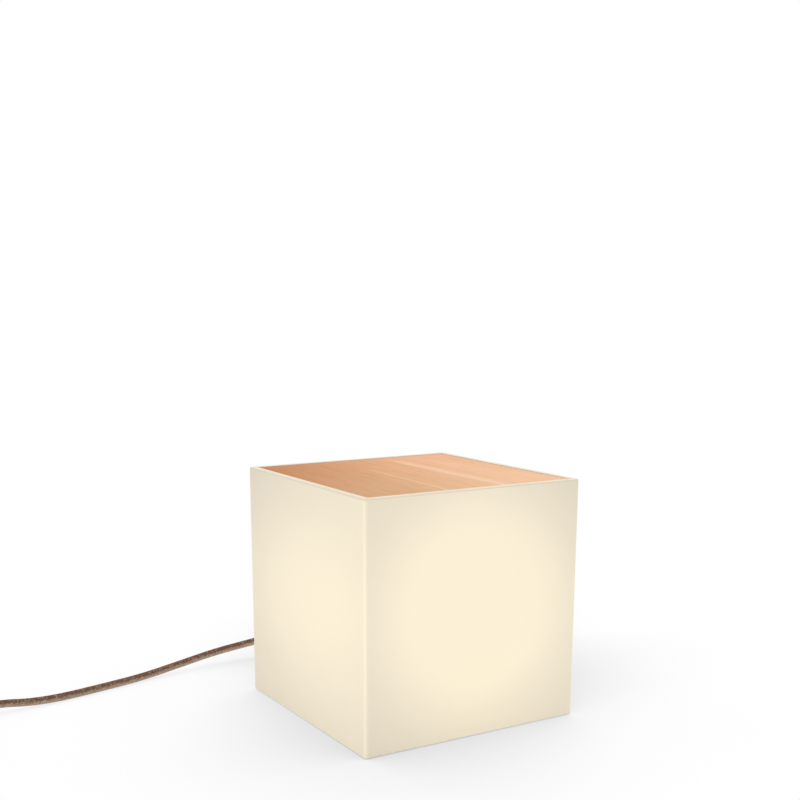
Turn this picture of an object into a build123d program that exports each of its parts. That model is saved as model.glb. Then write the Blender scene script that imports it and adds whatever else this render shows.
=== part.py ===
from build123d import *

# A cube table lamp: four opal acrylic walls, a wooden lid let in flush with their rim, and inside
# them a screw-in LED bulb in a holder on the base plate. A cloth-covered mains cord leaves the
# rear wall near its foot, runs over the table to an in-line rocker switch, and ends in a coil
# with a flat two-pin plug.
#
# Frame: millimetres, +Z up, origin on the table under the middle of the cube. The front wall
# faces -Y, the cord leaves through the rear wall at +Y.

import math
import os

# ---------------------------------------------------------------- driving dimensions
# Shell
CUBE = 200.0  # width and depth over the walls, and height of the rim above the table
WALL = 6.0  # acrylic panel
EDGE_ROUND = 2.5  # upright outer edges
RIM_ROUND = 1.0  # outer edge of the rim
FOOT_ROUND = 0.6  # outer edge at the foot of the walls
SHADOW_GAP = 1.0  # the walls end this far above the table

# Base plate, its feet, and the blocks that it is screwed to
FOOT_HEIGHT = 4.0
FOOT_RADIUS = 9.0
FOOT_INSET = 30.0  # from the outside of the walls to a foot's centre
BASE_THICK = 5.0
BASE_FIT = 0.3  # gap between plate and walls
FOOT_BREAK = 0.8  # bevel round a foot's sole
BLOCK_SIDE = 14.0
BLOCK_HEIGHT = 16.0
BASE_SCREW = (1.75, 3.4, 2.2)  # shank radius, head radius, head height
BASE_SCREW_BITE = 9.0  # how far the screws reach into the blocks
VENTS = 8
VENT_RADIUS = 4.0
VENT_RING = 58.0

# Lid
LID_THICK = 10.0
LID_RECESS = 0.4  # the wood lies this far below the rim
LID_FIT = 0.5  # gap between wood and walls
LID_BREAK = 0.5  # broken edges of the wood
LEDGE_WIDTH = 8.0
LEDGE_HEIGHT = 10.0
PAD_RADIUS = 4.0
PAD_HEIGHT = 1.2
PAD_PLACE = 70.0  # from the middle of a ledge
LID_SEAT = 0.1  # air between a pad and the resting lid

# Lampholder for a 27 mm screw cap
HOLDER_WALL = 2.2
FLANGE_WIDTH = 9.0  # beyond the holder's body
FLANGE_THICK = 3.0
FLANGE_BREAK = 0.6
FLANGE_FLARE = 0.8  # slope between the flange and the body
DECK_THICK = 2.0
ENTRY_RISE = 2.0  # from the flange to the cord's underside
ENTRY_ROOF = 1.2  # from the cord to the deck
SKIRT_HEIGHT = 30.0
SKIRT_TAPER = 1.4  # how much narrower the skirt is at its mouth
SKIRT_LIP = 0.9  # how far the rolled lip stands out
SKIRT_LIP_HEIGHT = 2.2
SKIRT_AIR = 1.45  # least gap between skirt and insert
INSERT_WALL = 3.0
INSERT_BORE = 8.0  # radius of the opening in the insert's floor
INSERT_FLOOR = 1.4
INSERT_HEIGHT = 22.0
SHELL_THICK = 0.4
SHELL_HEIGHT = 22.0
SHELL_BORE = 9.5  # radius of the opening in the shell's flange
CAP_FIT = 0.35  # screw shell to bulb cap
HOLDER_SCREW_OUT = 4.6  # from the holder's body to the screws
HOLDER_SCREW = (2.0, 3.9, 2.4)  # shank radius, head radius, head height
NUT_FLATS = 6.0  # across the flats
NUT_HEIGHT = 3.2
SCREW_OVER = 1.0  # how far the screws stand out of their nuts
CONTACT_WIDTH = 6.0
CONTACT_THICK = 0.6
CONTACT_BEND = 0.6  # inner radius
CONTACT_AIR = 0.5  # round a contact where it passes through plastic
CONTACT_GAP = 0.3  # spring contact to the bulb's tip
CONTACT_LEG = 10.2  # from the axis to the legs of both contacts
TONGUE = (5.0, 1.5, 3.0)  # where the sprung tongue starts to rise, levels out and ends
SIDE_REACH = 7.0  # the side contact ends this far from the axis
TIP_CLEAR = 2.4  # from the insert's floor to the bulb's tip
TERMINAL = (6.0, 9.0)  # length, width

# LED bulb
CAP_RADIUS = 13.1
CAP_LENGTH = 22.0
CAP_THICK = 0.4
CAP_BORE = 9.0  # radius of the opening that the black glass fills
CAP_ROUND = 1.2  # sloped lower corner of the cap
TIP_RADIUS = 4.7
TIP_HEIGHT = 1.3
TIP_BREAK = 0.6
INSULATOR_HEIGHT = 4.0
INSULATOR_STEP = 2.0  # how much narrower than the cap it is at the top
BULB_LENGTH = 108.0
GLOBE_RADIUS = 30.0
GLOBE_THICK = 1.2
GLOBE_BELOW = 12.0  # the opal dome starts this far below its centre
HOUSING_WALL = 1.6
HOUSING_LIP = 0.8  # how far the housing overhangs the cap
HOUSING_RIM = 0.4  # how far it stands out from the dome's mouth
HOUSING_COLLAR = 1.2  # upright part above the cap
HOUSING_KNEE = (4.4, 12.0)  # a point of the flank: beyond the cap's radius, above the cap
NECK_BELOW = 14.0  # how far the neck reaches down into the cap
BOARD_AIR = 1.3  # between the LED board and the housing, at the dome's mouth
BOARD_SINK = 0.4  # top of the LED board below the dome's mouth
BOARD_THICK = 1.5
CHIPS = 12
CHIP_SIDE = 3.5
CHIP_HEIGHT = 0.8
CHIP_RING = 16.0
DRIVER_THICK = 1.2
DRIVER_FIT = 0.3  # between the driver board's edges and the neck
DRIVER_FOOT = 3.0  # bottom of the driver board above the cap's
DRIVER_HEADROOM = 17.8  # between the driver board and the LED board
CAPACITOR = (4.0, 22.0, 9.0)  # radius, bottom and top below the board's top
CHOKE = (9.0, 7.0, 18.0, 8.0)  # width, depth, bottom and top below the board's top
RECTIFIER = (6.0, 2.4, 32.0, 27.0)

# Cord and the bush that it leaves through
CORD = 6.8  # diameter over the cloth
EXIT_HEIGHT = 30.0
BUSH_BARREL = 6.0  # radius
BUSH_FLANGE = 9.0
BUSH_FLANGE_THICK = 2.0
BUSH_ROOT = 6.2
BUSH_TIP = 4.5
BUSH_TAIL = 18.0
BUSH_INSIDE = 10.0  # how far the barrel reaches in past the wall
BUSH_BREAK = 0.8
BUSH_RINGS = 4
BUSH_RING_FIRST = 3.2  # from the flange to the first groove's middle
BUSH_RING_STEP = 3.6
BUSH_RING_WIDTH = 1.4
BUSH_RING_DEPTH = 0.7
NUT_ACROSS = 16.0
NUT_THICK = 4.0
HOLE_FIT = 0.1  # radial clearance of screws, cords and the bush in their holes
CORE_RADIUS = 1.1  # one insulated core
CORE_APART = 3.2  # between the two cores where the cloth ends
CORD_STRIPPED = 5.0  # the cord ends this far inside the holder's body
TABLE_AIR = 0.1  # under everything that lies on the table

# In-line switch, lying along X
SWITCH_START = -330.0
SWITCH_Y = 150.0
SWITCH_LENGTH = 64.0
SWITCH_WIDTH = 26.0
SWITCH_SPLIT = 8.5  # height of the joint between its halves, and of the cord's axis
SWITCH_COVER_HEIGHT = 9.1
SWITCH_WALL = 2.0
SWITCH_CORNER = 9.0
SWITCH_TOP_ROUND = 2.5
SWITCH_FOOT_ROUND = 1.2
ROCKER_LENGTH = 17.0
ROCKER_WIDTH = 10.0
ROCKER_DEPTH = 3.2  # pivot below the cover's top
ROCKER_TILT = 11.0  # degrees to each side
ROCKER_RISE = (4.4, 3.0, 2.5)  # top above the pivot: at the ends, halfway and in the middle
ROCKER_HALFWAY = 4.5
ROCKER_SIDE = (0.5, 0.4)  # lower end corners: how far in, and above the pivot
ROCKER_KEEL = (3.4, 2.4)  # half length and depth of the underside
ROCKER_NOSE = (1.8, 1.4)  # half width of the nose at its root and at its end
NOSE_AIR = 0.6  # between the nose and the contact leaf
ROCKER_PIN = 1.0
PIN_FIT = 0.08  # rocker on its pin
PIN_EAR = (2.4, 1.6)  # half width and thickness of the ears that hold the pin
ROCKER_GAP = 0.6  # rocker to the window's sides
ROCKER_END_GAP = 1.0  # rocker, when it lies level, to the window's ends
STUB = 12.0  # cord held inside the switch at each end
SWITCH_SCREW_IN = (15.0, 5.0)  # from the switch's end and side
SWITCH_SCREW = (1.2, 2.1, 1.1)  # shank radius, head radius, head height
SWITCH_SCREW_SINK = 1.4  # depth of the heads' recess
SWITCH_SCREW_BITE = 2.9  # how far the screws reach into the cover
BOSS_RADIUS = 2.4
WIRE = 0.85  # radius of a core inside the switch
WIRE_BESIDE = 1.6  # each core lies this far beside the middle
WIRE_BELOW = 1.5  # and this far below the cord's axis
WIRE_RUN = 8.0  # bare core between the cord's end and its terminal's middle
SWITCH_TERMINAL = (5.0, 3.0)  # length, width
LEAF_LAP = 1.0  # how far the contact leaf passes the terminals' middles
LEAF_THICK = 0.5

# Plug, its axis along Y
PLUG_X = -445.0
PLUG_START = -11.0
PLUG_SLEEVE = 18.0
PLUG_BODY = 36.0
PLUG_WIDTH = 35.3
PLUG_THICK = 13.7
PLUG_NECK = (11.6, 10.2)  # width and thickness where the sleeve starts
PLUG_BLADE = 7.0  # straight front part
PLUG_ROUND = 5.0
PLUG_FRONT_BREAK = 1.0
PIN_BREAK = 1.2  # rounded ends of the pins
PIN_RADIUS = 2.0
PIN_LENGTH = 19.0
PIN_SPACING = 18.6

# Coil
COIL_CENTRE = (-408.0, 78.0)
COIL_RADIUS = 44.0  # of the first half turn
COIL_AIR = 0.5  # between neighbouring turns, and between the two layers
HALF_TURNS_IN = 4
HALF_TURNS_OUT = 5
COIL_END = 8.0  # straight length at each end
TIE_WIDTH = 14.0
TIE_THICK = 0.9
TIE_GAP = 0.25  # between the tie and the cord

# ---------------------------------------------------------------- heights and sizes that follow
INSIDE = CUBE - 2 * WALL
PLATE_TOP = FOOT_HEIGHT + BASE_THICK
LID_TOP = CUBE - LID_RECESS
LID_BOTTOM = LID_TOP - LID_THICK
LEDGE_TOP = LID_BOTTOM - LID_SEAT - PAD_HEIGHT
CORD_RADIUS = CORD / 2
HOLDER_ENTRY = PLATE_TOP + FLANGE_THICK + ENTRY_RISE + CORD_RADIUS
DECK_BOTTOM = HOLDER_ENTRY + CORD_RADIUS + ENTRY_ROOF
DECK_TOP = DECK_BOTTOM + DECK_THICK
INSERT_FLOOR_TOP = DECK_TOP + INSERT_FLOOR
SHELL_RADIUS = CAP_RADIUS + CAP_FIT
INSERT_RADIUS = SHELL_RADIUS + SHELL_THICK + HOLE_FIT + INSERT_WALL
SKIRT_MOUTH_RADIUS = INSERT_RADIUS + SKIRT_AIR + HOLDER_WALL
HOLDER_RADIUS = SKIRT_MOUTH_RADIUS + SKIRT_TAPER
HOLDER_SCREW_PLACE = HOLDER_RADIUS + HOLDER_SCREW_OUT
BULB_TIP = INSERT_FLOOR_TOP + TIP_CLEAR
CAP_BOTTOM = BULB_TIP + TIP_HEIGHT + INSULATOR_HEIGHT
CAP_TOP = CAP_BOTTOM + CAP_LENGTH
BULB_TOP = BULB_TIP + BULB_LENGTH
GLOBE_CENTRE = BULB_TOP - GLOBE_RADIUS
GLOBE_START = GLOBE_CENTRE - GLOBE_BELOW
GLOBE_MOUTH = math.sqrt(GLOBE_RADIUS**2 - GLOBE_BELOW**2)
BOARD_RADIUS = GLOBE_MOUTH + HOUSING_RIM - HOUSING_WALL - BOARD_AIR
BOARD_TOP = GLOBE_START - BOARD_SINK
NECK_RADIUS = CAP_RADIUS - CAP_THICK - HOLE_FIT
DRIVER_BOTTOM = CAP_BOTTOM + DRIVER_FOOT
DRIVER_TOP = BOARD_TOP - BOARD_THICK - DRIVER_HEADROOM
REAR = CUBE / 2  # outer face of the rear wall
BUSH_END = REAR + BUSH_FLANGE_THICK + BUSH_TAIL
CORD_LIES = CORD_RADIUS + TABLE_AIR
COIL_STEP = CORD + COIL_AIR
COIL_LOW = CORD_LIES + TIE_GAP + TIE_THICK
PLUG_HEIGHT = PLUG_THICK / 2 + TABLE_AIR
SWITCH_HEIGHT = SWITCH_SPLIT + SWITCH_COVER_HEIGHT
SWITCH_MIDDLE = SWITCH_START - SWITCH_LENGTH / 2
SWITCH_END = SWITCH_START - SWITCH_LENGTH
ROCKER_PIVOT = SWITCH_HEIGHT - ROCKER_DEPTH
STUB_OUT = SWITCH_LENGTH / 2 - STUB  # from the switch's middle to the cords' ends
SWITCH_TERMINAL_OUT = STUB_OUT - WIRE_RUN
WIRE_HEIGHT = SWITCH_SPLIT - WIRE_BELOW
SWITCH_SCREWS = [
    (SWITCH_MIDDLE + side * (SWITCH_LENGTH / 2 - SWITCH_SCREW_IN[0]),
     SWITCH_Y - side * (SWITCH_WIDTH / 2 - SWITCH_SCREW_IN[1]))
    for side in (1, -1)
]

# Cord inside the cube, from the bush to the lampholder
BUSH_INNER_END = REAR - WALL - BUSH_INSIDE
HOLDER_CORD_END = HOLDER_RADIUS - CORD_STRIPPED
INNER_CORD = [
    (0.0, BUSH_INNER_END, EXIT_HEIGHT),
    (0.0, BUSH_INNER_END - 19.0, EXIT_HEIGHT),
    (0.0, BUSH_INNER_END - 42.0, HOLDER_ENTRY),
    (0.0, HOLDER_CORD_END, HOLDER_ENTRY),
]

# Free cord, from the bush's tip to the switch, and from the switch to the coil and the plug
LAMP_LEAD = [
    (0.0, BUSH_END, EXIT_HEIGHT),
    (0.0, BUSH_END + 21.0, EXIT_HEIGHT),
    (-11.5, BUSH_END + 41.0, 28.0),
    (-34.0, BUSH_END + 55.5, 23.4),
    (-66.5, BUSH_END + 62.5, 17.2),
    (-101.0, BUSH_END + 64.5, 13.0),
    (-138.0, BUSH_END + 61.5, 7.5),
    (-178.0, BUSH_END + 53.5, CORD_LIES),
    (-220.0, 163.0, CORD_LIES),
    (-259.0, 154.5, CORD_LIES),
    (-287.0, 151.0, 5.0),
    (-309.0, SWITCH_Y, SWITCH_SPLIT),
    (SWITCH_START, SWITCH_Y, SWITCH_SPLIT),
]
PLUG_LEAD = [
    (SWITCH_END, SWITCH_Y, SWITCH_SPLIT),
    (SWITCH_END - 18.5, SWITCH_Y, SWITCH_SPLIT),
    (SWITCH_END - 37.5, SWITCH_Y - 6.5, 6.8),
    (SWITCH_END - 51.5, SWITCH_Y - 22.0, 5.2),
    (COIL_CENTRE[0] - COIL_RADIUS, SWITCH_Y - 43.0, COIL_LOW),
    (COIL_CENTRE[0] - COIL_RADIUS, COIL_CENTRE[1] + COIL_END, COIL_LOW),
]


# ---------------------------------------------------------------- shared helpers
def save(name, *solids):
    """Writes one named piece, or a group of like pieces, and says how big it is."""
    solids = [solid for given in solids for solid in given.solids()]
    shape = solids[0] if len(solids) == 1 else Compound(children=solids)
    shape.label = name
    export_step(shape, os.path.join("parts", name + ".step"))
    print(f"{name}: {len(solids)} solid(s), {sum(s.volume for s in solids) / 1000:.2f} cm3")


def block(low, high):
    """A box between two opposite corners."""
    size = [b - a for a, b in zip(low, high)]
    middle = [(a + b) / 2 for a, b in zip(low, high)]
    return Pos(*middle) * Box(*size)


def rod(radius, bottom, top, x=0.0, y=0.0):
    """An upright cylinder."""
    return Pos(x, y, (bottom + top) / 2) * Cylinder(radius, top - bottom)


def turned(*outline):
    """A body turned about the Z axis from (radius, height) corners."""
    return revolve(Plane.XZ * make_face(Polyline(*outline, close=True)), Axis.Z)


def pan_screw(sizes, length):
    """A slotted screw that points up: its head hangs below z = 0, its shank rises above."""
    shank, head, head_height = sizes
    screw = rod(head, -head_height, 0.0) + rod(shank, 0.0, length)
    screw = chamfer(screw.edges().group_by(Axis.Z)[0], head_height / 3)
    return screw - block((-head, -head / 8, -2 * head_height), (head, head / 8, -head_height / 2))


def pair(place):
    return [(-place, 0.0), (place, 0.0)]


def bored(solid, radius, places, low=0.0, high=2 * CUBE):
    """A solid with an upright hole at each place, with clearance for what passes through."""
    for x, y in places:
        solid -= rod(radius + HOLE_FIT, low, high, x, y)
    return solid


def four_corners(place):
    return [(sx * place, sy * place) for sx in (-1, 1) for sy in (-1, 1)]


# ---------------------------------------------------------------- shell, base and lid
def cube_walls():
    """The four walls: mitred at the corners, each with half of both upright roundings."""
    shell = block((-CUBE / 2, -CUBE / 2, SHADOW_GAP), (CUBE / 2, CUBE / 2, CUBE))
    shell = fillet(shell.edges().filter_by(Axis.Z), EDGE_ROUND)
    shell = fillet(shell.faces().sort_by(Axis.Z)[-1].edges(), RIM_ROUND)
    shell = fillet(shell.faces().sort_by(Axis.Z)[0].edges(), FOOT_ROUND)
    shell -= block((-INSIDE / 2, -INSIDE / 2, 0.0), (INSIDE / 2, INSIDE / 2, 2 * CUBE))
    wedge = extrude(make_face(Polyline((0, 0), (-CUBE, -CUBE), (CUBE, -CUBE), close=True)), 2 * CUBE)
    walls = {}
    for turn, name in enumerate(("wall_front", "wall_right", "wall_rear", "wall_left")):
        walls[name] = shell & (Rot(0, 0, 90 * turn) * wedge)
    bore = Pos(0, REAR - WALL / 2, EXIT_HEIGHT) * Rot(90, 0, 0) * Cylinder(BUSH_BARREL + HOLE_FIT, 3 * WALL)
    walls["wall_rear"] -= bore
    return walls


def base_plate():
    half = INSIDE / 2 - BASE_FIT
    plate = block((-half, -half, FOOT_HEIGHT), (half, half, PLATE_TOP))
    plate = bored(plate, BASE_SCREW[0], four_corners(INSIDE / 2 - BLOCK_SIDE / 2))
    plate = bored(plate, HOLDER_SCREW[0], pair(HOLDER_SCREW_PLACE))
    for index in range(VENTS):
        angle = math.tau * (index + 0.5) / VENTS
        plate -= rod(VENT_RADIUS, 0, CUBE, VENT_RING * math.cos(angle), VENT_RING * math.sin(angle))
    return plate


def feet():
    pads = []
    for x, y in four_corners(CUBE / 2 - FOOT_INSET):
        pad = rod(FOOT_RADIUS, 0, FOOT_HEIGHT, x, y)
        pads.append(chamfer(pad.edges().group_by(Axis.Z)[0], FOOT_BREAK))
    return pads


def base_blocks():
    """Acrylic blocks glued into the corners. The base plate's screws bite in them."""
    blocks = []
    for x, y in four_corners(INSIDE / 2 - BLOCK_SIDE / 2):
        body = Pos(x, y, PLATE_TOP + BLOCK_HEIGHT / 2) * Box(BLOCK_SIDE, BLOCK_SIDE, BLOCK_HEIGHT)
        blocks.append(bored(body, BASE_SCREW[0], [(x, y)], high=PLATE_TOP + BASE_SCREW_BITE + 2.0))
    return blocks


def base_screws():
    screw = pan_screw(BASE_SCREW, BASE_THICK + BASE_SCREW_BITE)
    return [Pos(x, y, FOOT_HEIGHT) * screw for x, y in four_corners(INSIDE / 2 - BLOCK_SIDE / 2)]


def lid_ledges():
    """Four strips glued round the inside, for the lid to lie on."""
    inner = INSIDE / 2 - LEDGE_WIDTH
    low, high = LEDGE_TOP - LEDGE_HEIGHT, LEDGE_TOP
    short = inner - BASE_FIT
    return [
        block((-INSIDE / 2, -INSIDE / 2, low), (INSIDE / 2, -inner, high)),
        block((-INSIDE / 2, inner, low), (INSIDE / 2, INSIDE / 2, high)),
        block((-INSIDE / 2, -short, low), (-inner, short, high)),
        block((inner, -short, low), (INSIDE / 2, short, high)),
    ]


def lid_pads():
    row = INSIDE / 2 - LEDGE_WIDTH / 2 - LID_FIT
    pads = []
    for x in (-PAD_PLACE, PAD_PLACE):
        for y in (-row, row):
            pad = rod(PAD_RADIUS, LEDGE_TOP, LEDGE_TOP + PAD_HEIGHT, x, y)
            pads.append(chamfer(pad.edges().group_by(Axis.Z)[-1], PAD_HEIGHT / 3))
    return pads


def wood_lid():
    half = INSIDE / 2 - LID_FIT
    return chamfer(block((-half, -half, LID_BOTTOM), (half, half, LID_TOP)).edges(), LID_BREAK)


# ---------------------------------------------------------------- lampholder
def holder_base():
    """A round foot with a deck on top, hollow below, and a side entry for the cord."""
    outer, inner = HOLDER_RADIUS, HOLDER_RADIUS - HOLDER_WALL
    rim, step = outer + FLANGE_WIDTH, PLATE_TOP + FLANGE_THICK
    body = turned(
        (0, DECK_BOTTOM), (inner, DECK_BOTTOM), (inner, PLATE_TOP), (rim, PLATE_TOP),
        (rim, step - FLANGE_BREAK), (rim - FLANGE_BREAK, step), (outer + FLANGE_FLARE, step),
        (outer, step + FLANGE_FLARE), (outer, DECK_TOP), (0, DECK_TOP),
    )
    body = bored(body, HOLDER_SCREW[0], pair(HOLDER_SCREW_PLACE))
    half_x, half_y = CONTACT_THICK / 2 + CONTACT_BEND + CONTACT_AIR, CONTACT_WIDTH / 2 + CONTACT_AIR
    for x, _ in pair(CONTACT_LEG):
        body -= block((x - half_x, -half_y, 0.0), (x + half_x, half_y, CUBE))
    entry = Pos(0, HOLDER_RADIUS, HOLDER_ENTRY) * Rot(90, 0, 0) * Cylinder(CORD_RADIUS + HOLE_FIT, 3 * HOLDER_WALL)
    return body - entry


def holder_insert():
    """The moulded cup that carries the screw shell."""
    inner, outer = INSERT_RADIUS - INSERT_WALL, INSERT_RADIUS
    top = DECK_TOP + INSERT_HEIGHT
    body = turned(
        (INSERT_BORE, DECK_TOP), (outer, DECK_TOP), (outer, top), (inner, top),
        (inner, INSERT_FLOOR_TOP), (INSERT_BORE, INSERT_FLOOR_TOP),
    )
    reach = CONTACT_LEG + CONTACT_THICK / 2 + CONTACT_BEND + CONTACT_AIR
    half = CONTACT_WIDTH / 2 + CONTACT_AIR
    return body - block((-reach, -half, DECK_TOP - 1.0), (reach, half, INSERT_FLOOR_TOP + 1.0))


def holder_skirt():
    """The outer sleeve, slightly tapered, with a rolled lip at its mouth."""
    foot, mouth = HOLDER_RADIUS, SKIRT_MOUTH_RADIUS
    lip, top = mouth + SKIRT_LIP, DECK_TOP + SKIRT_HEIGHT
    return turned(
        (foot - HOLDER_WALL, DECK_TOP), (foot, DECK_TOP), (mouth, top - SKIRT_LIP_HEIGHT - SKIRT_LIP),
        (lip, top - SKIRT_LIP_HEIGHT), (lip, top - FLANGE_BREAK), (lip - FLANGE_BREAK, top),
        (mouth - HOLDER_WALL, top),
    )


def screw_shell():
    """The metal sleeve that the bulb's cap screws into, with its bottom flange."""
    inner, outer = SHELL_RADIUS, SHELL_RADIUS + SHELL_THICK
    bottom = INSERT_FLOOR_TOP
    return turned(
        (SHELL_BORE, bottom), (outer, bottom), (outer, bottom + SHELL_HEIGHT), (inner, bottom + SHELL_HEIGHT),
        (inner, bottom + SHELL_THICK), (SHELL_BORE, bottom + SHELL_THICK),
    )


def bent_strip(path, width=CONTACT_WIDTH):
    """A metal strip bent along a path in the XZ plane."""
    start = Plane(origin=path @ 0, x_dir=(0, 1, 0), z_dir=path % 0)
    return sweep(start * Rectangle(width, CONTACT_THICK), path=path)


def centre_contact():
    """The sprung tongue under the bulb's tip, from the left terminal up through the deck."""
    top = BULB_TIP - CONTACT_GAP - CONTACT_THICK / 2
    low = DECK_TOP + CONTACT_THICK / 2 + HOLE_FIT
    rise, level, end = TONGUE
    path = FilletPolyline(
        (-CONTACT_LEG, 0, DECK_BOTTOM), (-CONTACT_LEG, 0, low), (-rise, 0, low), (-level, 0, top), (end, 0, top),
        radius=CONTACT_BEND,
    )
    return bent_strip(path)


def side_contact():
    """The strip from the right terminal to the screw shell's flange."""
    high = INSERT_FLOOR_TOP - CONTACT_THICK / 2
    path = FilletPolyline(
        (CONTACT_LEG, 0, DECK_BOTTOM), (CONTACT_LEG, 0, high), (SIDE_REACH, 0, high), radius=CONTACT_BEND
    )
    return bent_strip(path)


def terminals():
    """Two brass blocks under the deck, bored for the cores."""
    length, width = TERMINAL
    bore = Rot(90, 0, 0) * Cylinder(CORE_RADIUS + HOLE_FIT, width)
    blocks = []
    for x, _ in pair(CONTACT_LEG):
        body = Pos(x, 0, HOLDER_ENTRY) * Box(length, width, 2 * (DECK_BOTTOM - HOLDER_ENTRY))
        blocks.append(body - Pos(x, width / 2, HOLDER_ENTRY) * bore)
    return blocks


def holder_screws():
    screw = pan_screw(HOLDER_SCREW, BASE_THICK + FLANGE_THICK + NUT_HEIGHT + SCREW_OVER)
    return [Pos(x, y, FOOT_HEIGHT) * screw for x, y in pair(HOLDER_SCREW_PLACE)]


def holder_nuts():
    hexagon = extrude(RegularPolygon(NUT_FLATS / 2, 6, major_radius=False), NUT_HEIGHT)
    nut = bored(hexagon, HOLDER_SCREW[0], [(0.0, 0.0)], low=-1.0)
    return [Pos(x, y, PLATE_TOP + FLANGE_THICK) * nut for x, y in pair(HOLDER_SCREW_PLACE)]


# ---------------------------------------------------------------- bulb
def bulb_contact():
    top = BULB_TIP + TIP_HEIGHT
    return turned(
        (0, BULB_TIP), (TIP_RADIUS - 2 * TIP_BREAK, BULB_TIP), (TIP_RADIUS, BULB_TIP + TIP_BREAK),
        (TIP_RADIUS, top), (0, top),
    )


def bulb_insulator():
    low, wide = BULB_TIP + TIP_HEIGHT, CAP_RADIUS - INSULATOR_STEP
    return turned(
        (0, low), (TIP_RADIUS + 2 * TIP_BREAK, low), (wide, CAP_BOTTOM - TIP_BREAK), (wide, CAP_BOTTOM),
        (0, CAP_BOTTOM),
    )


def bulb_cap():
    """The screw cap, here without its thread: a thin cup round the housing's neck."""
    inner, floor = CAP_RADIUS - CAP_THICK, CAP_BOTTOM + CAP_THICK
    return turned(
        (CAP_BORE, CAP_BOTTOM), (CAP_RADIUS - CAP_ROUND, CAP_BOTTOM), (CAP_RADIUS, CAP_BOTTOM + CAP_ROUND),
        (CAP_RADIUS, CAP_TOP), (inner, CAP_TOP), (inner, floor + CAP_ROUND), (inner - CAP_ROUND, floor),
        (CAP_BORE, floor),
    )


def bulb_housing():
    """The white plastic cone between cap and dome, hollow, with a neck inside the cap."""
    neck, inside = NECK_RADIUS, NECK_RADIUS - HOUSING_WALL
    shoulder, collar = CAP_RADIUS + HOUSING_LIP, CAP_TOP + HOUSING_COLLAR
    knee, knee_height = CAP_RADIUS + HOUSING_KNEE[0], CAP_TOP + HOUSING_KNEE[1]
    rim, low = GLOBE_MOUTH + HOUSING_RIM, CAP_TOP - NECK_BELOW
    outline = [
        Polyline((neck, low), (neck, CAP_TOP), (shoulder, CAP_TOP), (shoulder, collar)),
        Spline((shoulder, collar), (knee, knee_height), (rim, GLOBE_START), tangents=((0.15, 1.0), (0.45, 1.0))),
        Line((rim, GLOBE_START), (rim - HOUSING_WALL, GLOBE_START)),
        Spline(
            (rim - HOUSING_WALL, GLOBE_START), (knee - HOUSING_WALL, knee_height + HOUSING_WALL / 4),
            (inside, CAP_TOP), tangents=((-0.45, -1.0), (-0.15, -1.0)),
        ),
        Polyline((inside, CAP_TOP), (inside, low), (neck, low)),
    ]
    return revolve(Plane.XZ * make_face(outline), Axis.Z)


def bulb_globe():
    """The opal dome: a ball cut below its middle."""
    ball = Pos(0, 0, GLOBE_CENTRE) * (Sphere(GLOBE_RADIUS) - Sphere(GLOBE_RADIUS - GLOBE_THICK))
    return ball - rod(2 * GLOBE_RADIUS, GLOBE_CENTRE - 2 * GLOBE_RADIUS, GLOBE_START)


def led_board():
    return rod(BOARD_RADIUS, BOARD_TOP - BOARD_THICK, BOARD_TOP)


def led_chips():
    chip = Pos(CHIP_RING, 0, BOARD_TOP + CHIP_HEIGHT / 2) * Box(CHIP_SIDE, CHIP_SIDE, CHIP_HEIGHT)
    return [Rot(0, 0, 360 * index / CHIPS) * chip for index in range(CHIPS)]


def driver_board():
    """It slides between the neck's walls, which hold its edges."""
    half = NECK_RADIUS - HOUSING_WALL - DRIVER_FIT
    return block((-half, -DRIVER_THICK / 2, DRIVER_BOTTOM), (half, DRIVER_THICK / 2, DRIVER_TOP))


def driver_parts():
    """The smoothing capacitor, the choke and the rectifier on the driver board."""
    face = DRIVER_THICK / 2
    radius, low, high = CAPACITOR
    capacitor = rod(radius, DRIVER_TOP - low, DRIVER_TOP - high, 0, face + radius)
    width, depth, low, high = CHOKE
    choke = block((-width / 2, -face - depth, DRIVER_TOP - low), (width / 2, -face, DRIVER_TOP - high))
    width, depth, low, high = RECTIFIER
    rectifier = block((-width / 2, face, DRIVER_TOP - low), (width / 2, face + depth, DRIVER_TOP - high))
    return [capacitor, choke, rectifier]


# ---------------------------------------------------------------- cord entry
def along_y(shape, y, z=EXIT_HEIGHT):
    """Lays a piece that was made along +Z so that it points along +Y."""
    return Pos(0, y, z) * Rot(-90, 0, 0) * shape


def cord_bush():
    """The tapered rubber bush, moulded on the cord, that passes through the rear wall."""
    inside, face, end = -WALL - BUSH_INSIDE, BUSH_FLANGE_THICK, BUSH_FLANGE_THICK + BUSH_TAIL
    body = turned(
        (0, inside), (BUSH_BARREL, inside), (BUSH_BARREL, 0), (BUSH_FLANGE, 0), (BUSH_FLANGE, face - BUSH_BREAK),
        (BUSH_FLANGE - BUSH_BREAK, face), (BUSH_ROOT, face), (BUSH_TIP, end), (0, end),
    )
    for index in range(BUSH_RINGS):
        along = BUSH_RING_FIRST + BUSH_RING_STEP * index
        radius = BUSH_ROOT + (BUSH_TIP - BUSH_ROOT) * along / BUSH_TAIL - BUSH_RING_DEPTH
        groove = Cylinder(2 * BUSH_ROOT, BUSH_RING_WIDTH) - Cylinder(radius, BUSH_RING_WIDTH)
        body -= Pos(0, 0, face + along) * groove
    return along_y(body, REAR)


def bush_nut():
    nut = extrude(RegularPolygon(NUT_ACROSS / 2, 6, major_radius=False), NUT_THICK)
    nut -= Pos(0, 0, NUT_THICK / 2) * Cylinder(BUSH_BARREL + HOLE_FIT, 2 * NUT_THICK)
    return along_y(nut, REAR - WALL - NUT_THICK)


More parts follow.
